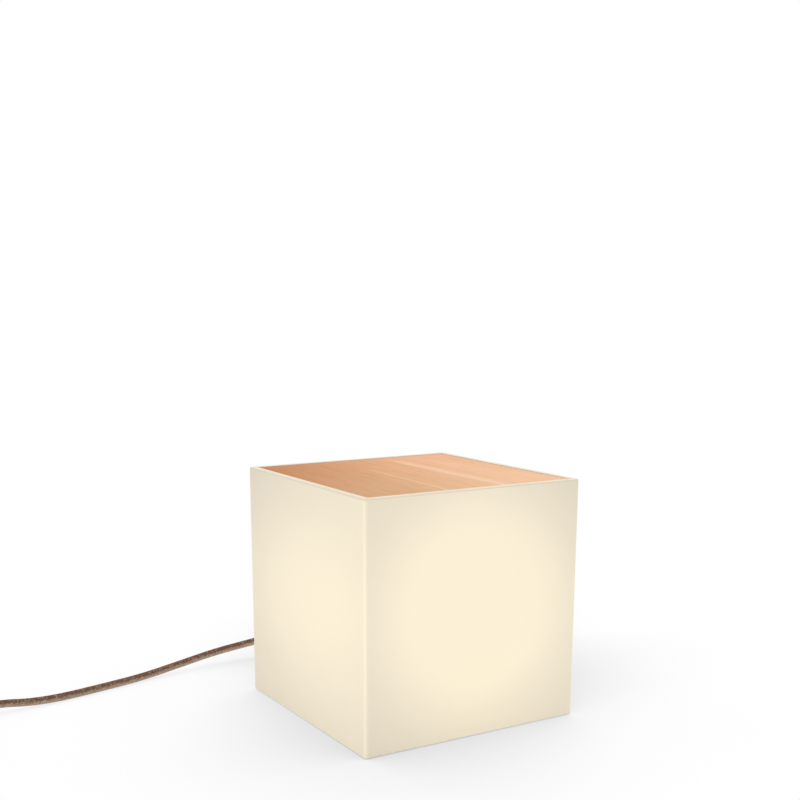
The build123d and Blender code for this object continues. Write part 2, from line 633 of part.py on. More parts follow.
def core_wires():
    """The two insulated cores from the cord's end into the terminals."""
    wires = []
    for side in (-1, 1):
        near, far = side * CORE_APART / 2, side * CONTACT_LEG
        path = FilletPolyline(
            (near, HOLDER_CORD_END, HOLDER_ENTRY), (near, HOLDER_CORD_END - 3.0, HOLDER_ENTRY),
            (far, TERMINAL[1] / 2 + 4.0, HOLDER_ENTRY), (far, 1.0, HOLDER_ENTRY), radius=2.0,
        )
        wires.append(tube(path, "core wire", CORE_RADIUS))
    return wires


# ---------------------------------------------------------------- free cord
def rounded(points, name):
    """A route with each corner rounded as widely as its two runs allow."""
    points = [Vector(*point) for point in points]
    radii = []
    for before, here, after in zip(points, points[1:], points[2:]):
        turn = math.radians((here - before).get_angle(after - here))
        radii.append(0.45 * min((here - before).length, (after - here).length) / math.tan(turn / 2))
    print(f"{name}: radii {' '.join(f'{r:.0f}' for r in radii)} mm")
    return FilletPolyline(*points, radius=radii)


def tube(path, name, radius=CORD_RADIUS):
    """A solid cord along a path. Its volume is compared with section times length."""
    body = sweep(Plane(origin=path @ 0, z_dir=path % 0) * Circle(radius), path=path)
    expected = math.pi * radius**2 * path.length
    print(f"{name}: length {path.length:.1f} mm, volume {body.volume / expected:.4f} of section times length")
    return body


def biarc(start, start_way, end, end_way):
    """Two arcs that leave start and reach end along the given unit directions."""
    gap, ways = end - start, start_way + end_way
    a, b, c = 4 - ways.dot(ways), 2 * gap.dot(ways), -gap.dot(gap)
    reach = (-b + math.sqrt(b * b - 4 * a * c)) / (2 * a)
    middle = (start + start_way * reach + end - end_way * reach) / 2
    first = TangentArc(start, middle, tangent=start_way)
    return [first, TangentArc(middle, end, tangent=first % 1)]


def coil_path():
    """One length wound inwards on the table, up a layer in the half turn where the spiral
    reverses, and outwards again on top. Every half turn is an arc; the climb is a biarc."""
    y = COIL_CENTRE[1]
    left = COIL_CENTRE[0] - COIL_RADIUS
    low, high = COIL_LOW, COIL_LOW + COIL_STEP
    here = Vector(left, y, low)
    edges = [Line(here + Vector(0, COIL_END, 0), here)]
    radius, side = COIL_RADIUS, 1
    for index in range(HALF_TURNS_IN + 1 + HALF_TURNS_OUT):
        there = Vector(here.X + side * 2 * radius, y, low if index < HALF_TURNS_IN else high)
        if index == HALF_TURNS_IN:
            edges += biarc(here, Vector(0, -side, 0), there, Vector(0, side, 0))
        else:
            middle = Vector((here.X + there.X) / 2, y - side * radius, here.Z)
            edges.append(ThreePointArc(here, middle, there))
        radius += COIL_STEP / 2 * (-1 if index < HALF_TURNS_IN else 1)
        here, side = there, -side
    edges.append(Line(here, here - Vector(0, COIL_END, 0)))
    return Wire([edge for part in edges for edge in part.edges()]), here - Vector(0, COIL_END, 0)


def least_gap(path, step=2.0):
    """The least distance between two stretches of a path that aren't neighbours, less the cord."""
    count = int(path.length / step)
    points = [path @ (index / count) for index in range(count + 1)]
    apart = int(3 * CORD / step)
    gap = min(
        (points[i] - points[j]).length for i in range(len(points)) for j in range(i + apart, len(points))
    )
    return gap - CORD


def coil_tie():
    """A band round all the turns on the far side of the coil."""
    innermost = COIL_RADIUS - (HALF_TURNS_IN - 1) * COIL_STEP / 2
    inner = math.sqrt(innermost**2 - (TIE_WIDTH / 2 + COIL_STEP / 2) ** 2)
    x = COIL_CENTRE[0]
    near = COIL_CENTRE[1] + inner - CORD_RADIUS - TIE_GAP
    far = COIL_CENTRE[1] + COIL_RADIUS + COIL_STEP / 2 + CORD_RADIUS + TIE_GAP
    low = COIL_LOW - CORD_RADIUS - TIE_GAP
    high = COIL_LOW + COIL_STEP + CORD_RADIUS + TIE_GAP
    section = Rectangle(far - near, high - low)
    ring = extrude(offset(section, TIE_THICK) - section, TIE_WIDTH / 2, both=True)
    return Pos(x, (near + far) / 2, (low + high) / 2) * Rot(0, 90, 0) * Rot(0, 0, 90) * ring


# ---------------------------------------------------------------- in-line switch
def switch_outline(inset=0.0):
    length, width = SWITCH_LENGTH - 2 * inset, SWITCH_WIDTH - 2 * inset
    return Pos(SWITCH_MIDDLE, SWITCH_Y) * RectangleRounded(length, width, SWITCH_CORNER - inset)


def cord_bores():
    bore = Cylinder(CORD_RADIUS + HOLE_FIT, 2 * SWITCH_LENGTH)
    return Pos(SWITCH_MIDDLE, SWITCH_Y, SWITCH_SPLIT) * Rot(0, 90, 0) * bore


def switch_base():
    body = extrude(switch_outline(), SWITCH_SPLIT)
    body = fillet(body.faces().sort_by(Axis.Z)[0].edges(), SWITCH_FOOT_ROUND)
    body -= Pos(0, 0, SWITCH_WALL) * extrude(switch_outline(SWITCH_WALL), SWITCH_SPLIT)
    for x, y in SWITCH_SCREWS:
        body += rod(BOSS_RADIUS, SWITCH_WALL, SWITCH_SPLIT, x, y)
    body = bored(body, SWITCH_SCREW[0], SWITCH_SCREWS, low=-1.0)
    return bored(body, SWITCH_SCREW[1], SWITCH_SCREWS, low=-1.0, high=SWITCH_SCREW_SINK) - cord_bores()


def switch_cover():
    top = SWITCH_HEIGHT
    body = Pos(0, 0, SWITCH_SPLIT) * extrude(switch_outline(), top - SWITCH_SPLIT)
    body = fillet(body.faces().sort_by(Axis.Z)[-1].edges(), SWITCH_TOP_ROUND)
    body -= Pos(0, 0, SWITCH_SPLIT - 1) * extrude(switch_outline(SWITCH_WALL), top - SWITCH_SPLIT - SWITCH_WALL + 1)
    for x, y in SWITCH_SCREWS:
        body += rod(BOSS_RADIUS, SWITCH_SPLIT, top - SWITCH_WALL, x, y)
    body = bored(body, SWITCH_SCREW[0], SWITCH_SCREWS, high=SWITCH_SPLIT + SWITCH_SCREW_BITE + 1.0)
    half_x, half_y = ROCKER_LENGTH / 2 + ROCKER_END_GAP, ROCKER_WIDTH / 2 + ROCKER_GAP
    body -= block((SWITCH_MIDDLE - half_x, SWITCH_Y - half_y, top - 2 * SWITCH_WALL),
                  (SWITCH_MIDDLE + half_x, SWITCH_Y + half_y, top + 1))
    half, thick = PIN_EAR
    for side in (-1, 1):
        near, far = sorted((SWITCH_Y + side * half_y, SWITCH_Y + side * (half_y + thick)))
        ear = block((-half, near, ROCKER_PIVOT - half), (half, far, top - SWITCH_WALL))
        body += Pos(SWITCH_MIDDLE, 0, 0) * ear
    return body - rocker_pin(PIN_FIT / 4) - cord_bores()


def rocker_pin(clearance=0.0):
    """The steel pin through the rocker, held in the cover's two ears."""
    length = ROCKER_WIDTH + 2 * ROCKER_GAP + 2 * PIN_EAR[1]
    return Pos(SWITCH_MIDDLE, SWITCH_Y, ROCKER_PIVOT) * Rot(90, 0, 0) * Cylinder(ROCKER_PIN + clearance, length)


def switch_rocker():
    """The rocker as it stands when the lamp is on, its end towards the lamp pressed in."""
    half = ROCKER_LENGTH / 2
    keel, depth = ROCKER_KEEL
    nose = ROCKER_PIVOT - SWITCH_SPLIT - LEAF_THICK - NOSE_AIR
    right = [
        (ROCKER_HALFWAY, ROCKER_RISE[1]), (half, ROCKER_RISE[0]), (half - ROCKER_SIDE[0], ROCKER_SIDE[1]),
        (keel, -depth), (ROCKER_NOSE[0], -depth), (ROCKER_NOSE[1], -nose),
    ]
    side = Polyline((0, ROCKER_RISE[2]), *right, *[(-x, z) for x, z in reversed(right)], close=True)
    body = extrude(Plane.XZ * make_face(side), ROCKER_WIDTH / 2, both=True)
    body -= Rot(90, 0, 0) * Cylinder(ROCKER_PIN + PIN_FIT, 2 * ROCKER_WIDTH)
    return Pos(SWITCH_MIDDLE, SWITCH_Y, ROCKER_PIVOT) * Rot(0, ROCKER_TILT, 0) * body


def switch_terminals():
    """Two brass blocks, each with an end of the broken core clamped in its bore."""
    length, width = SWITCH_TERMINAL
    bore = Rot(0, 90, 0) * Cylinder(WIRE + HOLE_FIT, length)
    blocks = []
    for side in (-1, 1):
        middle = Pos(SWITCH_MIDDLE + side * SWITCH_TERMINAL_OUT, SWITCH_Y - WIRE_BESIDE, 0)
        body = middle * block((-length / 2, -width / 2, SWITCH_WALL), (length / 2, width / 2, SWITCH_SPLIT))
        blocks.append(body - middle * Pos(side * length / 2, 0, WIRE_HEIGHT) * bore)
    return blocks


def switch_contact():
    """The leaf that the rocker's nose presses down across both terminals."""
    reach, half = SWITCH_TERMINAL_OUT + LEAF_LAP, SWITCH_TERMINAL[1] / 2
    leaf = block((-reach, -half, 0.0), (reach, half, LEAF_THICK))
    return Pos(SWITCH_MIDDLE, SWITCH_Y - WIRE_BESIDE, SWITCH_SPLIT) * leaf


def lying(radius, start, end, beside=0.0, height=SWITCH_SPLIT):
    """A round bar along X inside the switch, between two distances from its middle."""
    bar = Rot(0, 90, 0) * Cylinder(radius, abs(end - start))
    return Pos(SWITCH_MIDDLE + (start + end) / 2, SWITCH_Y + beside, height) * bar


def switch_tails():
    """The ends of both cords, held inside the switch."""
    return [lying(CORD_RADIUS, side * STUB_OUT, side * SWITCH_LENGTH / 2) for side in (-1, 1)]


def switch_cores():
    """The broken core to each terminal, and the other one straight past the rocker."""
    ends = [lying(WIRE, side * SWITCH_TERMINAL_OUT, side * STUB_OUT, -WIRE_BESIDE, WIRE_HEIGHT) for side in (-1, 1)]
    return ends + [lying(WIRE, -STUB_OUT, STUB_OUT, WIRE_BESIDE, WIRE_HEIGHT)]


def switch_screws():
    screw = pan_screw(SWITCH_SCREW, SWITCH_SPLIT - SWITCH_SCREW_SINK + SWITCH_SCREW_BITE)
    return [Pos(x, y, SWITCH_SCREW_SINK) * screw for x, y in SWITCH_SCREWS]


# ---------------------------------------------------------------- plug
def plug_body():
    """The flat moulded body and the sleeve that tapers onto the cord."""
    back = PLUG_START - PLUG_SLEEVE
    front = back - PLUG_BODY
    growth = PLUG_WIDTH - PLUG_NECK[0], PLUG_THICK - PLUG_NECK[1]
    faces = []
    for along, share in ((0.0, 0.0), (0.35, 0.23), (0.72, 0.8), (1.0, 1.0)):
        width, thick = PLUG_NECK[0] + share * growth[0], PLUG_NECK[1] + share * growth[1]
        place = Plane(
            origin=(PLUG_X, back + along * (front + PLUG_BLADE - back), PLUG_HEIGHT), x_dir=(1, 0, 0), z_dir=(0, -1, 0)
        )
        faces.append(place * RectangleRounded(width, thick, PLUG_ROUND * (0.84 + 0.16 * share)))
    body = loft(faces) + extrude(faces[-1], PLUG_BLADE)
    body = fillet(body.faces().sort_by(Axis.Y)[0].edges(), PLUG_FRONT_BREAK)
    sleeve = turned((0, 0), (BUSH_TIP, 0), (PLUG_NECK[1] / 2, PLUG_SLEEVE), (0, PLUG_SLEEVE))
    return body + Pos(PLUG_X, PLUG_START, PLUG_HEIGHT) * Rot(90, 0, 0) * sleeve


def plug_pins():
    front = PLUG_START - PLUG_SLEEVE - PLUG_BODY
    pin = rod(PIN_RADIUS, 0, PIN_LENGTH)
    pin = Rot(90, 0, 0) * fillet(pin.edges().sort_by(Axis.Z)[-1], PIN_BREAK)
    return [Pos(PLUG_X + side * PIN_SPACING / 2, front, PLUG_HEIGHT) * pin for side in (-1, 1)]


def main():
    os.makedirs("parts", exist_ok=True)

    for name, wall in cube_walls().items():
        save(name, wall)
    save("base_plate", base_plate())
    save("feet", *feet())
    save("base_blocks", *base_blocks())
    save("base_screws", *base_screws())
    save("lid_ledges", *lid_ledges())
    save("lid_pads", *lid_pads())
    save("wood_lid", wood_lid())

    save("holder_base", holder_base())
    save("holder_insert", holder_insert())
    save("holder_skirt", holder_skirt())
    save("screw_shell", screw_shell())
    save("centre_contact", centre_contact())
    save("side_contact", side_contact())
    save("holder_terminals", *terminals())
    save("holder_screws", *holder_screws())
    save("holder_nuts", *holder_nuts())

    save("bulb_contact", bulb_contact())
    save("bulb_insulator", bulb_insulator())
    save("bulb_cap", bulb_cap())
    save("bulb_housing", bulb_housing())
    save("bulb_globe", bulb_globe())
    save("led_board", led_board())
    save("led_chips", *led_chips())
    save("driver_board", driver_board())
    save("driver_parts", *driver_parts())

    save("cord_bush", cord_bush())
    save("bush_nut", bush_nut())
    save("inner_cord", tube(rounded(INNER_CORD, "inner_cord"), "inner_cord"))
    save("core_wires", *core_wires())

    coil, coil_end = coil_path()
    end = (PLUG_X, PLUG_START, PLUG_HEIGHT)
    tail = [
        tuple(coil_end), (coil_end.X, coil_end.Y - 16.0, coil_end.Z), (PLUG_X - 11.0, PLUG_START + 49.0, 9.8),
        (PLUG_X - 4.0, PLUG_START + 33.0, 7.7), (PLUG_X, PLUG_START + 17.0, PLUG_HEIGHT), end,
    ]
    save("lamp_lead", tube(rounded(LAMP_LEAD, "lamp_lead"), "lamp_lead"))
    save("plug_lead", tube(rounded(PLUG_LEAD, "plug_lead"), "plug_lead"))
    save("cord_coil", tube(coil, "cord_coil"))
    print(f"cord_coil: least gap to itself {least_gap(coil):.2f} mm")
    save("plug_tail", tube(rounded(tail, "plug_tail"), "plug_tail"))
    save("coil_tie", coil_tie())

    save("switch_base", switch_base())
    save("switch_cover", switch_cover())
    save("switch_rocker", switch_rocker())
    save("rocker_pin", rocker_pin())
    save("switch_terminals", *switch_terminals())
    save("switch_contact", switch_contact())
    save("switch_tails", *switch_tails())
    save("switch_cores", *switch_cores())
    save("switch_screws", *switch_screws())

    save("plug_body", plug_body())
    save("plug_pins", *plug_pins())


if __name__ == "__main__":
    main()
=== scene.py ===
"""Cube table lamp: glowing acrylic walls, a wooden lid, a bulb in its holder and a cloth cord.

Everything is in metres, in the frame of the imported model: +Z up, the origin on the table under
the middle of the cube, the front wall facing -Y and the cord leaving at +Y.
"""

import math

import bpy
import numpy as np
from mathutils import Matrix, Vector


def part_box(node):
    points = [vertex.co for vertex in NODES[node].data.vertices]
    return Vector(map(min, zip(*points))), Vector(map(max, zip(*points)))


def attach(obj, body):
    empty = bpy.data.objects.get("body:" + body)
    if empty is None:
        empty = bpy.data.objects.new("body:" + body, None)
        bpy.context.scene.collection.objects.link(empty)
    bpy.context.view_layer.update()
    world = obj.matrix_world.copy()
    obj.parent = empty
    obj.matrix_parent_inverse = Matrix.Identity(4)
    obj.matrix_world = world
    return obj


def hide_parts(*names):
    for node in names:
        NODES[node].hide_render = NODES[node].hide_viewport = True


bl_info = {
    "name": "Cube table lamp",
    "version": (1, 0, 0),
    "blender": (4, 5, 0),
    "location": "View3D > Sidebar > Cube Lamp",
    "description": "Dresses the packed model of a glowing cube lamp with a wooden lid and a cloth cord",
    "category": "Object",
}

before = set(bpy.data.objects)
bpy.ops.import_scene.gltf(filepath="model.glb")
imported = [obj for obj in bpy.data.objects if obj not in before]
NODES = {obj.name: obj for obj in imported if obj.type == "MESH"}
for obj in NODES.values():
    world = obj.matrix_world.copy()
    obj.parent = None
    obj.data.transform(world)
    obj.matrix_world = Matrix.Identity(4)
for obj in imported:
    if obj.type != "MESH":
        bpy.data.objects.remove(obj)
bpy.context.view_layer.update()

# Routes of the cord, in metres
LAMP_ROUTE = [
    (0.0, 0.120, 0.030), (0.0, 0.141, 0.030), (-0.0115, 0.161, 0.028), (-0.034, 0.1755, 0.0234),
    (-0.0665, 0.1825, 0.0172), (-0.101, 0.1845, 0.013), (-0.138, 0.1815, 0.0075),
    (-0.178, 0.1735, 0.0035), (-0.220, 0.163, 0.0035), (-0.259, 0.1545, 0.0035),
    (-0.287, 0.151, 0.005), (-0.309, 0.150, 0.0085), (-0.330, 0.150, 0.0085),
]
TO_COIL = [
    (-0.394, 0.150, 0.0085), (-0.4125, 0.150, 0.0085), (-0.4315, 0.1435, 0.0068),
    (-0.4455, 0.128, 0.0052), (-0.452, 0.107, 0.00465), (-0.452, 0.088, 0.00465),
]
TO_PLUG = [
    (-0.4593, 0.070, 0.01195), (-0.4593, 0.054, 0.01195), (-0.456, 0.038, 0.0098),
    (-0.449, 0.022, 0.0077), (-0.445, 0.006, 0.00695), (-0.445, -0.011, 0.00695),
]
INNER_ROUTE = [
    (0.0, 0.084, 0.030), (0.0, 0.065, 0.030), (0.0, 0.042, 0.0174), (0.0, 0.017, 0.0174),
]
# Half turns of the coil: radius and the X of its middle. The fifth one (CLIMB) climbs to the upper layer.
HALF_TURNS = [
    (0.044, -0.408), (0.04035, -0.40435), (0.0367, -0.408), (0.03305, -0.40435), (0.0294, -0.408),
    (0.03305, -0.41165), (0.0367, -0.408), (0.04035, -0.41165), (0.044, -0.408), (0.04765, -0.41165),
]
COIL_Y, LOW_TURNS, HIGH_TURNS, CLIMB = 0.078, 0.00465, 0.01195, 4
PER_HALF_TURN = 6
# Points around a cloth tube, and the metres between its rings
TUBE_SIDES, TUBE_STEP = 40, 0.00055
# The strap: the cord's Y and Z where it crosses, how far from the cord's middle it runs, and its size
STRAP_TURNS = [(0.1091, LOW_TURNS), (0.1182, LOW_TURNS), (0.1091, HIGH_TURNS), (0.1255, HIGH_TURNS)]
STRAP_RADIUS, STRAP_WIDTH, STRAP_THICKNESS = 0.00365, 0.0138, 0.0008

# Where the finishes change, in metres: a wall's face, its rounded upright edge, its cut top edge, the
# bulb and its dome, and the sleeves on the plug's pins
WALL_DISTANCE = 0.1
EDGE_START, EDGE_FULL = 0.0968, 0.0990
RIM_START, RIM_FULL = 0.1986, 0.1998
BULB_CENTRE = (0.0, 0.0, 0.106)
DOME_FOOT, DOME_SHOULDER = 0.093, 0.115
SLEEVES_END, SLEEVES_FADE = -0.0752, 0.0002

# The round thread and the sheet metal of the cap and the lampholder's shell
THREAD_PITCH, THREAD_DEPTH, THREAD_FADE, RINGS_PER_TURN = 0.00363, 0.0009, 0.002, 12
SHEET_METAL, LIP_DEPTH = 0.0004, 0.0013

# The -X wall beside the others: how much distance along Y counts, its hot spot, its least light
LEFT_NARROWING, LEFT_SPOT, LEFT_FLOOR = 0.65, 0.49, 2.1

# The photo's camera: place, heading from +X, dip and roll in radians, and lens shift
CAMERA_PLACE = (-0.5205, -0.8359, 0.3403)
CAMERA_HEADING, CAMERA_DIP, CAMERA_ROLL = 1.0212, 0.2250, 0.0027
CAMERA_SHIFT = 0.21525


# ---------------------------------------------------------------- sizes and colours to change
def colour(name, description, value):
    return bpy.props.FloatVectorProperty(
        name=name, description=description, subtype="COLOR", size=3, min=0.0, max=1.0, default=value
    )


class GlowSettings(bpy.types.PropertyGroup):
    acrylic: colour("Acrylic", "Colour of the unlit opal acrylic", (0.75, 0.69, 0.60))
    rim: colour("Rim", "Colour of the acrylic's cut top edge", (0.765, 0.68, 0.525))
    light: colour("Light", "Colour of the light that comes through the walls", (1.0, 0.87, 0.53))
    floor: bpy.props.FloatProperty(
        name="Glow everywhere", description="Least light through a wall", default=0.066,
        min=0.0, max=2.0,
    )
    spot: bpy.props.FloatProperty(
        name="Hot spot", description="Light in the middle of a wall", default=0.57,
        min=0.0, max=2.0,
    )
    top: bpy.props.FloatProperty(
        name="Most glow", description="Level at which the hot spot is even", default=0.385,
        min=0.0, max=2.0,
    )
    # Edge light is a painted highlight on the rounded upright edges, strongest on the -X -Y edge.
    edge: bpy.props.FloatProperty(
        name="Edge light", description="Light that the sheet adds_as_painted_highlight to its rounded edges",
        default=0.10, min=0.0, max=1.0,
    )


class WoodSettings(bpy.types.PropertyGroup):
    # The paling from the left-hand colour to the right-hand colour is a painted reflection of the light.
    dark: colour("Left-hand wood", "Colour of the least_glare_wood, towards -X", (0.51, 0.212, 0.080))
    middle: colour("Middle wood", "Colour of the wood halfway across", (0.67, 0.346, 0.170))
    light: colour("Right-hand wood", "Colour of the paler wood, towards +X", (0.83, 0.470, 0.282))
    streak: colour("Streaks", "Colour of the pale streaks", (0.90, 0.60, 0.41))


class ClothSettings(bpy.types.PropertyGroup):
    diameter: bpy.props.FloatProperty(
        name="Cord", description="Diameter over the cloth", default=0.0068, unit="LENGTH",
        min=0.002, max=0.02,
    )
    lay: bpy.props.FloatProperty(
        name="Lay", description="Length in which a strand goes round once", default=0.020,
        unit="LENGTH", min=0.005, max=0.1,
    )
    strands: bpy.props.IntProperty(
        name="Strands", description="Strands that run one way round", default=10, min=4, max=24
    )
    relief: bpy.props.FloatProperty(
        name="Relief", description="Height of a strand above the gaps", default=0.0003,
        unit="LENGTH", min=0.0, max=0.001,
    )
    yarn: colour("Yarn", "Colour of the brown yarn", (0.095, 0.040, 0.020))
    fleck: colour("Flecks", "Colour of the beige flecks", (0.56, 0.45, 0.35))


class StageSettings(bpy.types.PropertyGroup):
    sky: bpy.props.FloatProperty(
        name="Surrounding light", description="Strength of the even light all round",
        default=0.715, min=0.0, max=3.0,
    )
    lamp: bpy.props.FloatProperty(
        name="Overhead light", description="Power of the wide soft lamp", default=9.0,
        unit="POWER", min=0.0, max=500.0,
    )
    lens: bpy.props.FloatProperty(
        name="Lens", description="Focal length on a 36 mm sensor", default=53.5626,
        min=10.0, max=200.0,
    )


SETTINGS = {
    "lamp_glow": GlowSettings,
    "lamp_wood": WoodSettings,
    "lamp_cloth": ClothSettings,
    "lamp_stage": StageSettings,
}


def setting(group):
    return getattr(bpy.context.scene, group)


# ---------------------------------------------------------------- nodes and materials
class Nodes:
    """Short ways to add nodes to one tree and to link them."""

    def __init__(self, tree):
        self.tree = tree

    def set(self, node, socket, value):
        """Links an output to a socket, or gives the socket a number, a vector or a colour."""
        put = node.inputs[socket]
        if isinstance(value, bpy.types.NodeSocket):
            self.tree.links.new(value, put)
        elif put.type == "RGBA":
            put.default_value = (*value, 1.0)
        else:
            put.default_value = value

    def node(self, kind, output=0, settings=None, **sockets):
        """Adds a node and returns one of its outputs. Sockets go by name, or by number as i0, i1."""
        node = self.tree.nodes.new("ShaderNode" + kind)
        for key, value in (settings or {}).items():
            setattr(node, key, value)
        for socket, value in sockets.items():
            numbered = socket[0] == "i" and socket[1:].isdigit()
            self.set(node, int(socket[1:]) if numbered else socket.replace("_", " "), value)
        return node.outputs[output]

    def place(self, source="Object"):
        return self.tree.nodes.new("ShaderNodeTexCoord").outputs[source]

    def split(self, vector):
        node = self.tree.nodes.new("ShaderNodeSeparateXYZ")
        self.set(node, "Vector", vector)
        return node.outputs

    def flat(self, first, second):
        return self.node("CombineXYZ", X=first, Y=second)

    def math(self, operation, *values, kind="Math", output=0):
        numbered = {f"i{index}": value for index, value in enumerate(values)}
        return self.node(kind, output, {"operation": operation}, **numbered)

    def vector(self, operation, *values, output=0):
        return self.math(operation, *values, kind="VectorMath", output=output)

    def stretched(self, scale):
        return self.vector("MULTIPLY", self.place(), scale)

    def noise(self, vector, scale, detail=3.0, roughness=0.55):
        return self.node("TexNoise", Vector=vector, Scale=scale, Detail=detail, Roughness=roughness)

    def ramp(self, value, *stops):
        node = self.tree.nodes.new("ShaderNodeValToRGB")
        self.set(node, "Fac", value)
        while len(node.color_ramp.elements) < len(stops):
            node.color_ramp.elements.new(0.5)
        for element, (position, shade) in zip(node.color_ramp.elements, stops):
            element.position = position
            element.color = (shade, shade, shade, 1.0) if isinstance(shade, float) else (*shade, 1.0)
        return node.outputs["Color"]

    def level(self, value, low, high, to_low, to_high):
        return self.node(
            "MapRange", Value=value, From_Min=low, From_Max=high, To_Min=to_low, To_Max=to_high
        )

    def mix(self, factor, first, second, blend="MIX"):
        kinds = {"data_type": "RGBA", "blend_type": blend}
        return self.node("Mix", 2, kinds, i0=factor, i6=first, i7=second)

    def direct_rays(self):
        """1 for rays that come from the eye, straight or by way of a mirror or glass."""
        path = self.tree.nodes.new("ShaderNodeLightPath").outputs
        straight = self.math("MAXIMUM", path["Is Camera Ray"], path["Is Glossy Ray"])
        return self.math("MAXIMUM", straight, path["Is Transmission Ray"])


class Finish(Nodes):
    """A material in the making, with its shader."""

    def __init__(self, name, **sockets):
        self.material = bpy.data.materials.new(name)
        self.material.use_nodes = True
        super().__init__(self.material.node_tree)
        self.shader = self.tree.nodes["Principled BSDF"]
        for socket, value in sockets.items():
            self.set(self.shader, socket.replace("_", " "), value)

    def bump(self, height, strength, distance):
        bump = self.node("Bump", Strength=strength, Distance=distance, Height=height)
        self.set(self.shader, "Normal", bump)

    def vary(self, value, low, high):
        self.set(self.shader, "Roughness", self.level(value, 0.3, 0.7, low, high))


def dress(finish, *nodes):
    """Gives CAD nodes a material."""
    for name in nodes:
        mesh = NODES[name].data
        mesh.materials.clear()
        mesh.materials.append(finish.material)


def opal_acrylic():
    """Satin opal sheet: the bulb's light falls off over each wall as it does over a flat screen. The -X
    wall spreads it wider along Y, and its hot spot has no even middle."""
    glow = setting("lamp_glow")
    f = Finish("opal acrylic", IOR=1.49, Specular_IOR_Level=0.25)
    f.set(f.shader, "Emission Color", glow.light)
    x, y, z = f.split(f.place())
    facing, _, _ = f.split(f.place("Normal"))
    left = f.level(facing, -0.5, -0.9, 0.0, 1.0)  # 1 on the wall that faces -X

    narrowed = f.math("MULTIPLY", y, f.level(left, 0.0, 1.0, 1.0, LEFT_NARROWING))
    seen = f.node("CombineXYZ", X=x, Y=narrowed, Z=z)
    away = f.vector("DISTANCE", seen, BULB_CENTRE, output=1)
    near = f.math("POWER", f.math("DIVIDE", WALL_DISTANCE, away), 3.0)
    spot = f.level(left, 0.0, 1.0, glow.spot, LEFT_SPOT * glow.spot)
    least = f.level(left, 0.0, 1.0, glow.floor, LEFT_FLOOR * glow.floor)
    even = f.math("SMOOTH_MIN", f.math("MULTIPLY_ADD", near, spot, least), glow.top, 0.09)

    # From one side of a wall to the other its light slopes a little, one way near the foot and the other
    # way near the rim.
    along = f.math("MULTIPLY_ADD", f.math("ADD", x, y), -10.0, -1.0)
    along = f.node("Clamp", Value=along, Min=-1.0, Max=1.0)
    slope = f.math("MULTIPLY_ADD", left, 0.055, f.level(z, 0.0, 0.2, -0.027, 0.027))
    sloping = f.math("MULTIPLY_ADD", along, slope, even)

    across_x, across_y, _ = f.split(f.vector("ABSOLUTE", f.place()))
    # Painted highlight: the rounded upright edges get extra emission, in full on the -X -Y edge and 0.3 of it
    # on the other three.
    edge = f.math(
        "MULTIPLY",
        f.level(across_x, EDGE_START, EDGE_FULL, 0.0, 1.0),
        f.level(across_y, EDGE_START, EDGE_FULL, 0.0, 1.0),
    )
    edge_highlight = f.math("MULTIPLY", edge, f.level(along, -1.0, 1.0, 0.3 * glow.edge, glow.edge))
    rim = f.level(z, RIM_START, RIM_FULL, 0.0, 1.0)
    below_rim = f.math("SUBTRACT", 1.0, rim)
    glow_and_edge_highlight = f.math("MULTIPLY", f.math("ADD", edge_highlight, sloping), below_rim)
    f.set(f.shader, "Emission Strength", glow_and_edge_highlight)
    f.set(f.shader, "Base Color", f.mix(rim, glow.acrylic, glow.rim))
    grain = f.noise(f.place(), 900.0, 2.0)
    f.vary(grain, 0.38, 0.48)
    f.bump(grain, 0.06, 0.00004)
    return f


def sheet_acrylic():
    f = Finish("white acrylic", Roughness=0.4, IOR=1.49)
    cloud = f.noise(f.place(), 60.0)
    f.set(f.shader, "Base Color", f.ramp(cloud, (0.3, (0.80, 0.77, 0.70)), (0.7, (0.86, 0.83, 0.76))))
    f.bump(f.noise(f.place(), 700.0), 0.08, 0.00005)
    return f


def between(first, second, share):
    """The colour that lies a share of the way from one to another."""
    return tuple(a + (b - a) * share for a, b in zip(first, second))


